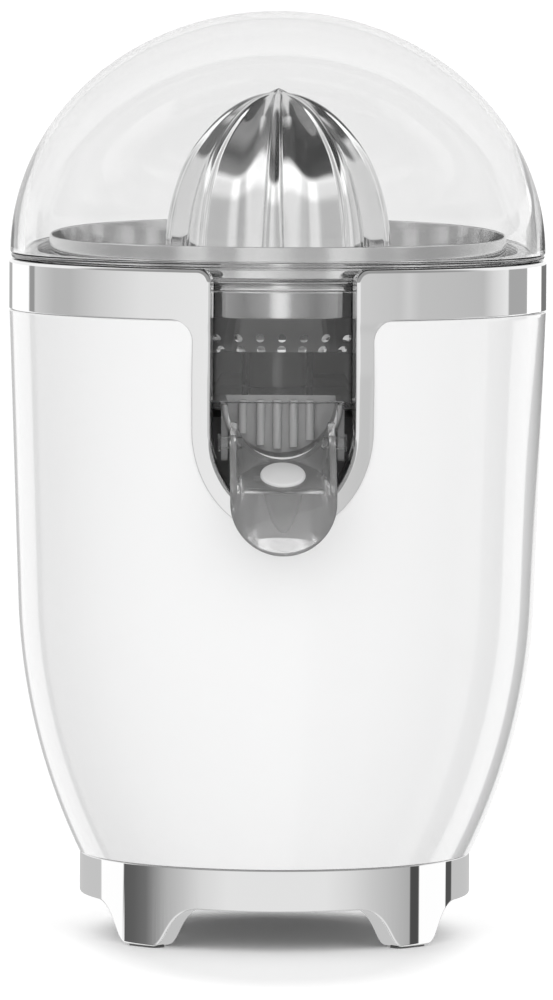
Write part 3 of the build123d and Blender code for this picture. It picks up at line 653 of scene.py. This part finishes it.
def spout_section(share):
    """One cross-section of the spout, from its lip (0) to its back end (1)."""
    depth = SPOUT_REACH - share * (SPOUT_REACH - SPOUT_BACK)
    bottom = SPOUT_LIP + SPOUT_SLOPE * (SPOUT_REACH - depth)
    top = bottom + SPOUT_LIP_RISE + share * (SPOUT_BACK_RISE - SPOUT_LIP_RISE)
    center = bottom + SPOUT_HALF
    floor = spout_floor(share)
    walls = []
    for half in (SPOUT_HALF, SPOUT_HALF - SPOUT_WALL):
        lean = degrees(asin(max(-1.0, min(0.0, (top - center) / half))))
        curve = arc_points((0, center), half, half, 180 - lean, 360 + lean, SPOUT_ARC_STEPS)
        straight = max(0.0, top - center)
        ends = [curve[0], curve[-1]]
        if straight:
            ends = [(-half, center + straight), (half, center + straight)]
        curve = [ends[0]] + curve + [ends[1]]
        if half < SPOUT_HALF:
            curve = [(across, min(top, max(height, floor))) for across, height in curve]
        walls.append(curve)
    ring = walls[0] + list(reversed(walls[1]))
    return [Vector((across, -depth, height)) * MM for across, height in ring]


def make_spout():
    """Clear chute, lofted through its sections."""
    build = bmesh.new()
    rings = []
    for step in range(SPOUT_SECTIONS + 1):
        rings.append([build.verts.new(point) for point in spout_section(step / SPOUT_SECTIONS)])
    for first, second in zip(rings, rings[1:]):
        bridge(build, first, second)
    for ring in (rings[0], rings[-1]):
        for index in range(len(ring) // 2 - 1):
            facing = len(ring) - 1 - index
            build.faces.new((ring[index], ring[index + 1], ring[facing - 1], ring[facing]))
    bmesh.ops.remove_doubles(build, verts=build.verts, dist=TINY)
    bmesh.ops.recalc_face_normals(build, faces=build.faces)
    mesh = beveled("spout_chute", to_mesh("spout_chute", build), SPOUT_EDGE)
    smooth(mesh)
    piece = new_object("spout_chute", mesh, "spout")
    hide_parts("spout")
    return piece


# Plug on the spout's floor
SEAL_RADIUS = 6.8
SEAL_STRETCH = 1.3
SEAL_HEIGHT = 1.0
SEAL_EDGE = 0.8
SEAL_GAP = 0.02
SEAL_SHARE = 0.52
SEAL_CROWN = 0.5
SEAL_EDGE_STEPS = 8
SEAL_SEGMENTS = 96


def make_seal():
    """Pale soft plug on the spout's floor."""
    edge_center = (SEAL_RADIUS - SEAL_EDGE, SEAL_HEIGHT - SEAL_EDGE)
    outline = [(0, SEAL_GAP), (SEAL_RADIUS, SEAL_GAP)]
    outline += arc_points(edge_center, SEAL_EDGE, SEAL_EDGE, 0, 80, SEAL_EDGE_STEPS)
    outline.append((0, SEAL_HEIGHT + SEAL_CROWN))
    mesh = lathe("seal_plug", outline, SEAL_SEGMENTS)
    rise = spout_floor(1) - spout_floor(0)
    run = SPOUT_REACH - SPOUT_BACK
    place = Vector((0, -SPOUT_REACH + SEAL_SHARE * run, spout_floor(SEAL_SHARE))) * MM
    tilt = Matrix.Rotation(atan2(rise, run), 4, "X")
    stretch = Matrix.Scale(SEAL_STRETCH, 4, (0, 1, 0))
    mesh.transform(Matrix.Translation(place) @ tilt @ stretch)
    smooth(mesh)
    piece = new_object("seal_plug", mesh, "spout")
    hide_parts("spout_seal")
    return piece


# Strainer and reamer
STRAINER_SHEET = 0.8
STRAINER_RIM = STRAINER_TOP + 2.4
STRAINER_RADIUS = 70.6
STRAINER_FLANGE = 2.8
STRAINER_SEAT = STRAINER_TOP - 8.4
STRAINER_FOLD = STRAINER_SEAT - 10.0
STRAINER_FLOOR_RADIUS = 58.0
STRAINER_COLLAR = 11.6
STRAINER_COLLAR_HEIGHT = 5.0
STRAINER_EDGE = 1.2
HOLE_RADIUS = 1.3
HOLE_DEPTH = 3 * HOLE_RADIUS
HOLE_STEP = 6.5
WALL_HOLES = 60
WALL_ROW_DROPS = (6.4, 10.2)
FLOOR_ROWS = 3
FLOOR_ROW_START = 0.9
HOLE_SIDES = 20
REAMER_SKIRT = 3.4
REAMER_RIBS = 8
REAMER_WALL = 1.2
REAMER_TURN = radians(3.8)
RIB_BASE_HALF = 3.0
RIB_TIP_HALF = 0.7
RIB_EDGE = 0.9
RIB_CROWN = 0.3
REAMER_NIB = 1.2
REAMER_NIB_SLOPE = 2.6
REAMER_NIB_END = 8
RIB_PANEL_SHARE = 0.45
VALLEY_DEPTH = 4.4
VALLEY_STEP = 0.28
# Share of the reamer's radius at which its valleys reach their full depth
VALLEY_FULL = 0.5
REAMER_STEPS = 110
REAMER_SPACING = 1.7
REAMER_SEGMENTS = 768
REAMER_SMOOTH_ANGLE = radians(50)


def make_strainer():
    """Steel dish with a rolled rim, a ledge and rows of holes."""
    sheet = STRAINER_SHEET
    flange = STRAINER_RADIUS + STRAINER_FLANGE
    collar_top = STRAINER_FLOOR + STRAINER_COLLAR_HEIGHT
    outline = [
        (STRAINER_RADIUS, STRAINER_RIM), (STRAINER_RADIUS, STRAINER_SEAT + sheet),
        (flange, STRAINER_SEAT + sheet), (flange, STRAINER_SEAT),
        (STRAINER_RADIUS, STRAINER_SEAT), (STRAINER_RADIUS, STRAINER_FOLD),
        (STRAINER_FLOOR_RADIUS, STRAINER_FLOOR), (STRAINER_COLLAR, STRAINER_FLOOR),
        (STRAINER_COLLAR, collar_top), (STRAINER_COLLAR + sheet, collar_top),
        (STRAINER_COLLAR + sheet, STRAINER_FLOOR + sheet),
        (STRAINER_FLOOR_RADIUS - sheet / 2, STRAINER_FLOOR + sheet),
        (STRAINER_RADIUS - sheet, STRAINER_FOLD + sheet / 2),
        (STRAINER_RADIUS - sheet, STRAINER_RIM)]
    mesh = lathe("strainer_dish", rounded(outline, STRAINER_EDGE))
    places = []
    for drop in WALL_ROW_DROPS:
        share = drop / (STRAINER_FOLD - STRAINER_FLOOR)
        radius = STRAINER_RADIUS - (STRAINER_RADIUS - STRAINER_FLOOR_RADIUS) * share
        for hole in range(WALL_HOLES):
            turn = Matrix.Rotation(2 * pi * hole / WALL_HOLES, 4, "Z")
            place = Matrix.Translation(Vector((radius, 0, STRAINER_FOLD - drop)) * MM)
            places.append(turn @ place @ Matrix.Rotation(pi / 2, 4, "Y"))
    for row in range(FLOOR_ROWS):
        radius = STRAINER_FLOOR_RADIUS - HOLE_STEP * (row + FLOOR_ROW_START)
        places += ring_places(radius, STRAINER_FLOOR, int(2 * pi * radius / HOLE_STEP))
    holes = rods("strainer_holes", places, HOLE_RADIUS, HOLE_DEPTH, HOLE_SIDES)
    mesh = combine("strainer_dish", mesh, holes, "DIFFERENCE")
    smooth(mesh)
    piece = new_object("strainer_dish", mesh, "strainer")
    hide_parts("strainer")
    return piece


def reamer_radius(angle, below_tip):
    """Radius of the ribbed reamer at an angle and a depth below its pointed tip."""
    dome = REAMER_TOP - REAMER_BOTTOM - REAMER_SKIRT
    rise = max(0.0, min(1.0, 1 - (below_tip - REAMER_NIB) / (dome - REAMER_NIB)))
    nib = REAMER_NIB_SLOPE * below_tip * max(0.0, 1 - below_tip / REAMER_NIB_END)
    outer = max(REAMER_RADIUS * sqrt(max(0.0, 1 - rise * rise)), nib)
    if outer < TINY:
        return 0.0
    spacing = 2 * pi / REAMER_RIBS
    offset = (angle + REAMER_TURN + spacing / 2) % spacing - spacing / 2
    across = outer * abs(offset)
    half_panel = outer * spacing / 2
    rib_half = RIB_TIP_HALF + (RIB_BASE_HALF - RIB_TIP_HALF) * min(1.0, below_tip / dome)
    rib_half = min(RIB_PANEL_SHARE * half_panel, rib_half)
    if across <= rib_half:
        return outer - RIB_CROWN * (across / rib_half) ** 2
    share = (across - rib_half) / (half_panel - rib_half)
    step = min(1.0, (across - rib_half) / RIB_EDGE)
    depth = VALLEY_DEPTH * min(1.0, outer / (VALLEY_FULL * REAMER_RADIUS))
    edge_drop = VALLEY_STEP * depth * step * step * (3 - 2 * step)
    scoop = (1 - VALLEY_STEP) * depth * sin(pi / 2 * share)
    return outer - RIB_CROWN - edge_drop - scoop


def make_reamer():
    """Polished steel cone with raised ribs and hollow panels between them."""
    build = bmesh.new()
    height = REAMER_TOP - REAMER_BOTTOM
    tip = build.verts.new((0, 0, REAMER_TOP * MM))
    angles = [2 * pi * segment / REAMER_SEGMENTS for segment in range(REAMER_SEGMENTS)]
    shares = [step / REAMER_STEPS for step in range(1, REAMER_STEPS + 1)]
    levels = [height * share ** REAMER_SPACING for share in shares]
    outlines = [([reamer_radius(angle, below) for angle in angles], below) for below in levels]
    hollow = REAMER_RADIUS - VALLEY_DEPTH - RIB_CROWN - REAMER_WALL
    outlines.append(([hollow] * REAMER_SEGMENTS, height))
    rings = []
    for radii, below in outlines:
        ring = []
        for angle, radius in zip(angles, radii):
            place = Vector((radius * sin(angle), -radius * cos(angle), REAMER_TOP - below))
            ring.append(build.verts.new(place * MM))
        rings.append(ring)
    roof = build.verts.new((0, 0, (REAMER_TOP - 2 * VALLEY_DEPTH) * MM))
    for segment in range(REAMER_SEGMENTS):
        after = (segment + 1) % REAMER_SEGMENTS
        build.faces.new((tip, rings[0][segment], rings[0][after]))
        for first, second in zip(rings, rings[1:]):
            build.faces.new((first[segment], second[segment], second[after], first[after]))
        build.faces.new((roof, rings[-1][after], rings[-1][segment]))
    bmesh.ops.recalc_face_normals(build, faces=build.faces)
    mesh = to_mesh("reamer_cone", build)
    smooth(mesh, REAMER_SMOOTH_ANGLE)
    piece = new_object("reamer_cone", mesh, "reamer")
    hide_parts("reamer")
    return piece


def grey(value):
    """A neutral colour."""
    return (value, value, value)


def add_mix(tree, factor, first, second):
    """Blend two colours, given as sockets or plain colours."""
    mix = tree.nodes.new("ShaderNodeMix")
    mix.data_type = "RGBA"
    tree.links.new(factor, mix.inputs["Factor"])
    for name, value in (("A", first), ("B", second)):
        if isinstance(value, tuple):
            mix.inputs[name].default_value = value
        else:
            tree.links.new(value, mix.inputs[name])
    return mix.outputs["Result"]


# Finishes
NOISE_DETAIL = 3.0
PLASTIC_IOR = 1.47
# Metals: name, colour, roughness, grain, lowest and greatest roughness, stretch of the grain
METALS = {
    "bright_metal": ("bright_chrome", grey(0.86), 0.04, 40, 0.03, 0.05, 1),
    "polished_steel": ("polished_reamer_steel", grey(0.82), 0.1, 120, 0.05, 0.1, 0.15),
    "strainer_steel": ("strainer_steel", grey(0.74), 0.07, 300, 0.04, 0.1, 0.2),
    "steel": ("plain_steel", grey(0.6), 0.3, 400, 0.22, 0.36, 0.1),
    "motor_steel": ("motor_steel", grey(0.45), 0.38, 200, 0.3, 0.45, 1),
    "brass": ("sintered_brass", (0.68, 0.48, 0.2), 0.35, 600, 0.3, 0.5, 1)}
# Rubbers and plain plastics: tone, roughness, grain and its height
DULL_PLASTICS = {
    "foot_rubber": (0.1, 0.7, 1500, 0.00005),
    "seal_rubber": (0.03, 0.6, 1500, 0.00005),
    "black_plastic": (0.02, 0.4, 2500, 0.00003),
    "hub_plastic": (0.75, 0.4, 2000, 0.00003)}
# Clear plastics: tone, roughness, light let through, grain, lowest and greatest roughness
CLEAR_PLASTICS = {
    "clear_plastic": (0.972, 0.01, 0.985, 25, 0.0, 0.02),
    "milky_plastic": (0.97, 0.04, 0.05, 60, 0.02, 0.06),
    "hazy_plastic": (0.96, 0.02, 0.87, 60, 0.01, 0.03),
    "frosted_plastic": (0.96, 0.05, 0.35, 60, 0.03, 0.08)}


class Finish:
    """A node material with a Principled shader and helpers for its surface detail."""

    def __init__(self, name, color, roughness, metallic=0.0):
        self.material = bpy.data.materials.new(name)
        self.material.use_nodes = True
        self.tree = self.material.node_tree
        self.shader = self.tree.nodes["Principled BSDF"]
        self.shader.inputs["Base Color"].default_value = (*color, 1)
        self.shader.inputs["Roughness"].default_value = roughness
        self.shader.inputs["Metallic"].default_value = metallic
        self.place = self.tree.nodes.new("ShaderNodeTexCoord")

    def set(self, **values):
        """Set plain values on the shader's sockets."""
        for name, value in values.items():
            self.shader.inputs[name.replace("_", " ")].default_value = value
        return self

    def noise(self, scale, stretch=1):
        """Noise in object space, as a factor, stretched along Z."""
        mapping = self.tree.nodes.new("ShaderNodeMapping")
        mapping.inputs["Scale"].default_value = (1, 1, stretch)
        texture = self.tree.nodes.new("ShaderNodeTexNoise")
        texture.inputs["Scale"].default_value = scale
        texture.inputs["Detail"].default_value = NOISE_DETAIL
        self.tree.links.new(self.place.outputs["Object"], mapping.inputs["Vector"])
        self.tree.links.new(mapping.outputs["Vector"], texture.inputs["Vector"])
        return texture.outputs["Fac"]

    def vary_roughness(self, scale, low, high, stretch=1):
        """Let the roughness wander between two values."""
        span = self.tree.nodes.new("ShaderNodeMapRange")
        span.inputs["To Min"].default_value = low
        span.inputs["To Max"].default_value = high
        self.tree.links.new(self.noise(scale, stretch), span.inputs["Value"])
        self.tree.links.new(span.outputs["Result"], self.shader.inputs["Roughness"])
        return self

    def vary_color(self, scale, first, second):
        """Let the colour wander between two close tones."""
        mixed = add_mix(self.tree, self.noise(scale), (*first, 1), (*second, 1))
        self.tree.links.new(mixed, self.shader.inputs["Base Color"])
        return self

    def bump(self, scale, distance, strength=0.3):
        """Raise a fine grain on the surface."""
        bump = self.tree.nodes.new("ShaderNodeBump")
        bump.inputs["Distance"].default_value = distance
        bump.inputs["Strength"].default_value = strength
        self.tree.links.new(self.noise(scale), bump.inputs["Height"])
        self.tree.links.new(bump.outputs["Normal"], self.shader.inputs["Normal"])
        return self


def make_finishes():
    """One procedural material for each slot of the record, and four more for the visual pieces."""
    finishes = {}
    finishes["white_paint"] = (
        Finish("white_gloss_paint", grey(0.9), 0.18).set(Coat_Weight=1.0, Coat_Roughness=0.04)
        .vary_color(14, grey(0.895), (0.91, 0.91, 0.912)).vary_roughness(60, 0.14, 0.22)
        .bump(900, 0.00002, 0.15))
    finishes["base_metal"] = Finish("base_chrome", grey(0.86), 0.0, 1.0)
    for slot, (name, color, roughness, *grain) in METALS.items():
        finishes[slot] = Finish(name, color, roughness, 1.0).vary_roughness(*grain)
    for name, (tone, roughness, *grain) in DULL_PLASTICS.items():
        finishes[name] = Finish(name, grey(tone), roughness).bump(*grain)
    for name, (tone, roughness, passed, *grain) in CLEAR_PLASTICS.items():
        finishes[name] = Finish(name, grey(tone), roughness).vary_roughness(*grain)
        finishes[name].set(Transmission_Weight=passed, IOR=PLASTIC_IOR)
    finishes["pale_silicone"] = (
        Finish("pale_silicone", grey(0.7), 0.45).vary_color(120, grey(0.68), grey(0.72))
        .bump(900, 0.00003))
    finishes["dark_plastic"] = (
        Finish("dark_satin_plastic", grey(0.28), 0.4).vary_color(200, grey(0.26), grey(0.3))
        .bump(2500, 0.00003))
    finishes["gear_plastic"] = (
        Finish("gear_plastic", (0.78, 0.75, 0.66), 0.45)
        .vary_color(80, (0.78, 0.75, 0.66), (0.74, 0.71, 0.62)))
    return {slot: finish.material for slot, finish in finishes.items()}


def paint(piece, material):
    """Give a piece one material in all its slots."""
    if not piece.data.materials:
        piece.data.materials.append(material)
    for slot in piece.material_slots:
        slot.material = material


# Studio: distances in metres, angles in degrees
IMAGE_HEIGHT = 1000
SENSOR = 36.0
FOCAL_PIXELS = 9043.0
CAMERA_DISTANCE = 2.788
CAMERA_HEIGHT = 0.3213
CAMERA_AZIMUTH = -1.29
CAMERA_AIM = 0.134
CAMERA_ROLL = 0.31
CAMERA_SIGHT = 500
FLOOR_SIZE = 400.0


def make_camera():
    """Camera at the photograph's angle."""
    data = bpy.data.cameras.new("camera")
    data.sensor_fit = "VERTICAL"
    data.sensor_height = SENSOR
    data.lens = SENSOR * FOCAL_PIXELS / IMAGE_HEIGHT
    data.clip_end = CAMERA_SIGHT
    camera = linked("camera", data)
    turn = radians(CAMERA_AZIMUTH)
    camera.location = (CAMERA_DISTANCE * sin(turn), -CAMERA_DISTANCE * cos(turn), CAMERA_HEIGHT)
    look = Vector((0, 0, CAMERA_AIM)) - camera.location
    camera.rotation_mode = "QUATERNION"
    roll = Matrix.Rotation(radians(CAMERA_ROLL), 4, "Z").to_quaternion()
    camera.rotation_quaternion = look.to_track_quat("-Z", "Y") @ roll
    bpy.context.scene.camera = camera


# Levels are divided by this to fit a colour ramp, and the world's strength restores them
LEVEL_SCALE = 2.0
# Levels of the studio in mirrors, by turn from the camera's side: 0 is the camera, 1 is behind
STUDIO_LEFT = [
    (0.0, 0.92), (0.165, 0.92), (0.34, 0.86), (0.46, 0.7), (0.56, 0.53), (0.62, 0.53),
    (0.714, 0.68), (0.718, 0.34), (0.745, 0.34), (0.75, 1.15), (0.885, 1.15), (0.895, 0.45),
    (0.94, 0.45), (0.95, 1.0)]
STUDIO_RIGHT = [
    (0.0, 0.92), (0.145, 0.92), (0.16, 0.7), (0.29, 0.62), (0.314, 0.7), (0.345, 0.6),
    (0.54, 0.56), (0.578, 0.75), (0.64, 0.92), (0.644, 0.43), (0.738, 0.43), (0.742, 1.3),
    (0.85, 1.3), (0.858, 0.2), (0.94, 0.2), (0.95, 1.0)]
# The right panels stand further round for the sloping sides of the shell, which mirror lower down
SLOPE_TURN = 0.08
SLOPE_SPAN = (0.05, 0.09)
# Levels for mirrors behind clear plastic: their rays have passed more faces than INSIDE_DEPTH
STUDIO_INSIDE = [
    (0.0, 1.15), (0.016, 1.0), (0.034, 0.42), (0.1, 0.22), (0.16, 0.4), (0.3, 0.35),
    (0.5, 0.45), (0.8, 0.9)]
INSIDE_DEPTH = 2.5
# Levels overhead on the camera's side, by the height of the direction
SOFT_BOXES = [(0.0, 1.0), (0.38, 1.05), (0.45, 1.7), (0.55, 1.7)]
OVERHEAD_LEFT = SOFT_BOXES + [(0.6, 0.3), (0.75, 0.1), (0.9, 0.32), (1.0, 0.2)]
OVERHEAD_RIGHT = SOFT_BOXES + [(0.6, 0.02), (0.97, 0.02), (1.0, 0.05)]
# Stripes across the lower levels overhead, by turn, and the heights over which they fade
STRIPES_LEFT = [
    (0.0, 0.8), (0.05, 1.0), (0.1, 1.0), (0.13, 0.6), (0.19, 0.65), (0.22, 1.0), (0.27, 1.0),
    (0.31, 0.55), (0.36, 0.6), (0.4, 1.05), (0.5, 0.8)]
STRIPES_RIGHT = [
    (0.0, 0.8), (0.06, 0.6), (0.12, 0.65), (0.15, 1.05), (0.22, 1.0), (0.25, 0.65), (0.31, 0.75),
    (0.34, 1.05), (0.4, 1.0), (0.44, 0.6), (0.5, 0.8)]
STRIPES_SPAN = (0.5, 0.62)
# Levels overhead for mirrors outside the lid, by height, and behind, by depth
OVERHEAD_PLAIN = [(0.0, 0.35), (0.9, 0.35), (1.0, 0.5)]
OVERHEAD_BACK = 1.0
OVERHEAD_BACK_SPAN = (-0.1, 0.3)
# Levels behind for mirrors under the lid, by how far the direction rises above BACK_SLOPE
BACK_UNDER_LID = [
    (0.0, 0.9), (0.22, 0.9), (0.27, 0.16), (0.55, 0.16), (0.66, 0.85), (1.0, 0.9)]
BACK_SLOPE = 0.5
BACK_START = 0.25
BACK_SPAN = (0.18, 0.4)
# Levels that the base mirrors: it alone is a perfectly sharp mirror
BASE_LEFT = [
    (0.0, 0.88), (0.161, 0.88), (0.25, 0.78), (0.32, 0.61), (0.377, 0.5), (0.412, 0.37),
    (0.462, 0.18), (0.514, 0.13), (0.565, 0.11), (0.567, 1.15), (0.695, 1.15), (0.701, 0.62),
    (1.0, 0.6)]
BASE_RIGHT = [
    (0.0, 0.88), (0.161, 0.88), (0.243, 0.79), (0.33, 0.65), (0.424, 0.54), (0.477, 0.47),
    (0.481, 0.08), (0.519, 0.08), (0.523, 1.15), (0.668, 1.15), (0.671, 0.09), (0.71, 0.09),
    (0.714, 0.6), (1.0, 0.6)]
# Heights of direction between the panels round the object and the levels overhead
HORIZON_SPAN = (-0.015, 0.012)
# Rays that have left a mirror have a glossy depth above this
MIRROR_DEPTH = 0.5
# Soft light on matt surfaces: its level from the side, and how much it gains towards the camera
SOFT_LEVEL = 0.86
SOFT_GAIN = 0.62
# The floor glows to the eye, except inside an ellipse round the centre below: painted shade, an
# outline inside which its rendered shadow shows
FLOOR_LIFT = 0.36
SHADE_CENTER = (0.0, -0.045, 0.0)
SHADE_HALVES = (0.052, 0.1, 1.0)
SHADE_SPAN = (0.75, 1.35)


def plain_level(level):
    """A level as a colour."""
    return (*grey(level / LEVEL_SCALE), 1)


def add_levels(tree, stops, value):
    """Levels from a list of places and levels, read at a value."""
    ramp = tree.nodes.new("ShaderNodeValToRGB")
    elements = ramp.color_ramp.elements
    while len(elements) < len(stops):
        elements.new(1.0)
    for element, (place, level) in zip(elements, stops):
        element.position = place
        element.color = plain_level(level)
    tree.links.new(value, ramp.inputs[0])
    return ramp.outputs["Color"]


def add_math(tree, operation, first, second=None):
    """One arithmetic node on sockets or numbers."""
    node = tree.nodes.new("ShaderNodeMath")
    node.operation = operation
    for socket, value in zip(node.inputs, (first, second)):
        if isinstance(value, (int, float)):
            socket.default_value = value
        elif value is not None:
            tree.links.new(value, socket)
    return node.outputs[0]


def add_sides(tree, axes, left, right):
    """Levels to the left or right of the camera, each a list and the value to read it at."""
    on_right = add_math(tree, "GREATER_THAN", axes.outputs["X"], 0.0)
    return add_mix(tree, on_right, add_levels(tree, *left), add_levels(tree, *right))


def add_turn(tree, axes):
    """How far a direction is turned from the camera's side, from 0 to 1."""
    forward = add_math(tree, "MULTIPLY", axes.outputs["Y"], -1.0)
    turn = add_math(tree, "ARCTAN2", axes.outputs["X"], forward)
    return add_math(tree, "DIVIDE", add_math(tree, "ABSOLUTE", turn), pi)


def add_span(tree, value, limits):
    """A factor that rises from 0 to 1 between two limits."""
    span = tree.nodes.new("ShaderNodeMapRange")
    span.interpolation_type = "SMOOTHSTEP"
    span.inputs["From Min"].default_value = limits[0]
    span.inputs["From Max"].default_value = limits[1]
    tree.links.new(value, span.inputs["Value"])
    return span.outputs["Result"]


def add_seen(tree, rays):
    """A factor for rays of the camera and through clear plastic."""
    return add_math(tree, "MAXIMUM", rays.outputs["Is Camera Ray"],
                    rays.outputs["Is Transmission Ray"])


def add_panels(tree, axes, turn, under_lid, sharp):
    """Panels round the object at its own height."""
    down = add_math(tree, "MULTIPLY", axes.outputs["Z"], -1.0)
    further = add_math(tree, "MULTIPLY", add_span(tree, down, SLOPE_SPAN), SLOPE_TURN)
    right_turn = add_math(tree, "ADD", turn, further)
    panels = add_sides(tree, axes, (STUDIO_LEFT, turn), (STUDIO_RIGHT, right_turn))
    base = add_sides(tree, axes, (BASE_LEFT, turn), (BASE_RIGHT, turn))
    outside = add_mix(tree, sharp, panels, base)
    return add_mix(tree, under_lid, outside, add_levels(tree, STUDIO_INSIDE, turn))


def add_overhead(tree, axes, turn, under_lid):
    """Plain light, but under the lid a dark ceiling, striped soft boxes and a wall behind."""
    depth = axes.outputs["Y"]
    height = axes.outputs["Z"]
    ceiling = add_sides(tree, axes, (OVERHEAD_LEFT, height), (OVERHEAD_RIGHT, height))
    stripes = add_sides(tree, axes, (STRIPES_LEFT, turn), (STRIPES_RIGHT, turn))
    striped = add_math(tree, "MULTIPLY", ceiling, stripes)
    striped = add_math(tree, "MULTIPLY", striped, LEVEL_SCALE)
    front = add_mix(tree, add_span(tree, height, STRIPES_SPAN), striped, ceiling)
    aside = add_math(tree, "MULTIPLY", add_math(tree, "ABSOLUTE", axes.outputs["X"]), -BACK_SLOPE)
    above = add_math(tree, "ADD", add_math(tree, "ADD", height, aside), BACK_START)
    back = add_levels(tree, BACK_UNDER_LID, above)
    inner = add_mix(tree, add_span(tree, depth, BACK_SPAN), front, back)
    plain = add_levels(tree, OVERHEAD_PLAIN, height)
    behind = add_span(tree, depth, OVERHEAD_BACK_SPAN)
    outer = add_mix(tree, behind, plain, plain_level(OVERHEAD_BACK))
    return add_mix(tree, under_lid, outer, inner)


def make_world():
    """Soft studio: white to the eye and through clear plastic, panels of light in mirrors."""
    world = bpy.data.worlds.new("studio")
    world.use_nodes = True
    bpy.context.scene.world = world
    tree = world.node_tree
    place = tree.nodes.new("ShaderNodeTexCoord")
    axes = tree.nodes.new("ShaderNodeSeparateXYZ")
    tree.links.new(place.outputs["Generated"], axes.inputs[0])
    rays = tree.nodes.new("ShaderNodeLightPath")
    turn = add_turn(tree, axes)
    passed = rays.outputs["Transmission Depth"]
    under_lid = add_math(tree, "GREATER_THAN", passed, INSIDE_DEPTH)
    sharp = rays.outputs["Is Singular Ray"]
    panels = add_panels(tree, axes, turn, under_lid, sharp)
    overhead = add_overhead(tree, axes, turn, under_lid)
    raised = add_span(tree, axes.outputs["Z"], HORIZON_SPAN)
    mirrored = add_mix(tree, raised, panels, overhead)
    gain = add_math(tree, "MULTIPLY", axes.outputs["Y"], -SOFT_GAIN / LEVEL_SCALE)
    soft = add_math(tree, "ADD", gain, SOFT_LEVEL / LEVEL_SCALE)
    room = add_mix(tree, add_seen(tree, rays), soft, plain_level(1.0))
    in_mirror = add_math(tree, "GREATER_THAN", rays.outputs["Glossy Depth"], MIRROR_DEPTH)
    shown = add_mix(tree, in_mirror, room, mirrored)
    background = tree.nodes["Background"]
    background.inputs["Strength"].default_value = LEVEL_SCALE
    tree.links.new(shown, background.inputs["Color"])


def add_vector_math(tree, operation, vector, fixed=None):
    """One vector node on a socket and a fixed vector."""
    node = tree.nodes.new("ShaderNodeVectorMath")
    node.operation = operation
    tree.links.new(vector, node.inputs[0])
    if fixed:
        node.inputs[1].default_value = fixed
    return node


def make_floor():
    """Pale floor, white to the eye, that keeps the object's rendered shadow only inside a painted
    ellipse of shade.
    """
    mesh = bpy.data.meshes.new("floor")
    half = FLOOR_SIZE / 2
    corners = [(-half, -half, 0), (half, -half, 0), (half, half, 0), (-half, half, 0)]
    mesh.from_pydata(corners, [], [(0, 1, 2, 3)])
    floor = linked("floor", mesh)
    finish = Finish("pale_floor", grey(0.97), 0.9).set(Specular_IOR_Level=0.0)
    finish.vary_color(3, grey(0.965), grey(0.975))
    tree = finish.tree
    seen = add_seen(tree, tree.nodes.new("ShaderNodeLightPath"))
    # Painted shade: the glow is withheld inside an ellipse round the base, so the rendered shadow
    # shows only there
    offset = add_vector_math(tree, "SUBTRACT", finish.place.outputs["Object"], SHADE_CENTER)
    share = add_vector_math(tree, "DIVIDE", offset.outputs["Vector"], SHADE_HALVES)
    distance = add_vector_math(tree, "LENGTH", share.outputs["Vector"])
    outside_painted_shade = add_span(tree, distance.outputs["Value"], SHADE_SPAN)
    lift = add_math(tree, "MULTIPLY", outside_painted_shade, FLOOR_LIFT)
    glow = add_math(tree, "MULTIPLY", seen, lift)
    tree.links.new(glow, finish.shader.inputs["Emission Strength"])
    finish.set(Emission_Color=(1, 1, 1, 1))
    mesh.materials.append(finish.material)
    floor.visible_glossy = False
    floor.visible_transmission = False


def frost_gully(bowl, material):
    """Frost the gully behind its mouth, below the bowl's floor."""
    bowl.data.materials.append(material)
    for face in bowl.data.polygons:
        below = face.center.z / MM < BOWL_FLOOR_TOP - BOWL_FLOOR - FROST_GAP
        if below and face.center.y / MM > FROST_GAP - GULLY_END:
            face.material_index = 1


def press_spring():
    """Give the return spring a mesh of its own."""
    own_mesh(frame["nodes"]["return_spring"])


def main():
    """Build every piece, then the studio."""
    finishes = make_finishes()
    slots = {entry["node"]: entry["material_slot"] for entry in frame["record"]["subparts"]}
    for node, item in frame["nodes"].items():
        paint(item, finishes[slots[node]])
    bowl = make_bowl()
    paint(bowl, finishes["clear_plastic"])
    frost_gully(bowl, finishes["frosted_plastic"])
    makers = {
        make_body_shell: "white_paint", make_trim_band: "bright_metal",
        make_base_ring: "base_metal", make_lid: "clear_plastic",
        make_gully_trim: "milky_plastic", make_spout: "hazy_plastic",
        make_strainer: "strainer_steel", make_reamer: "polished_steel",
        make_seal: "pale_silicone"}
    for make, finish in makers.items():
        paint(make(), finishes[finish])
    press_spring()
    make_camera()
    make_world()
    make_floor()
    bpy.context.scene.view_settings.view_transform = "Standard"


main()
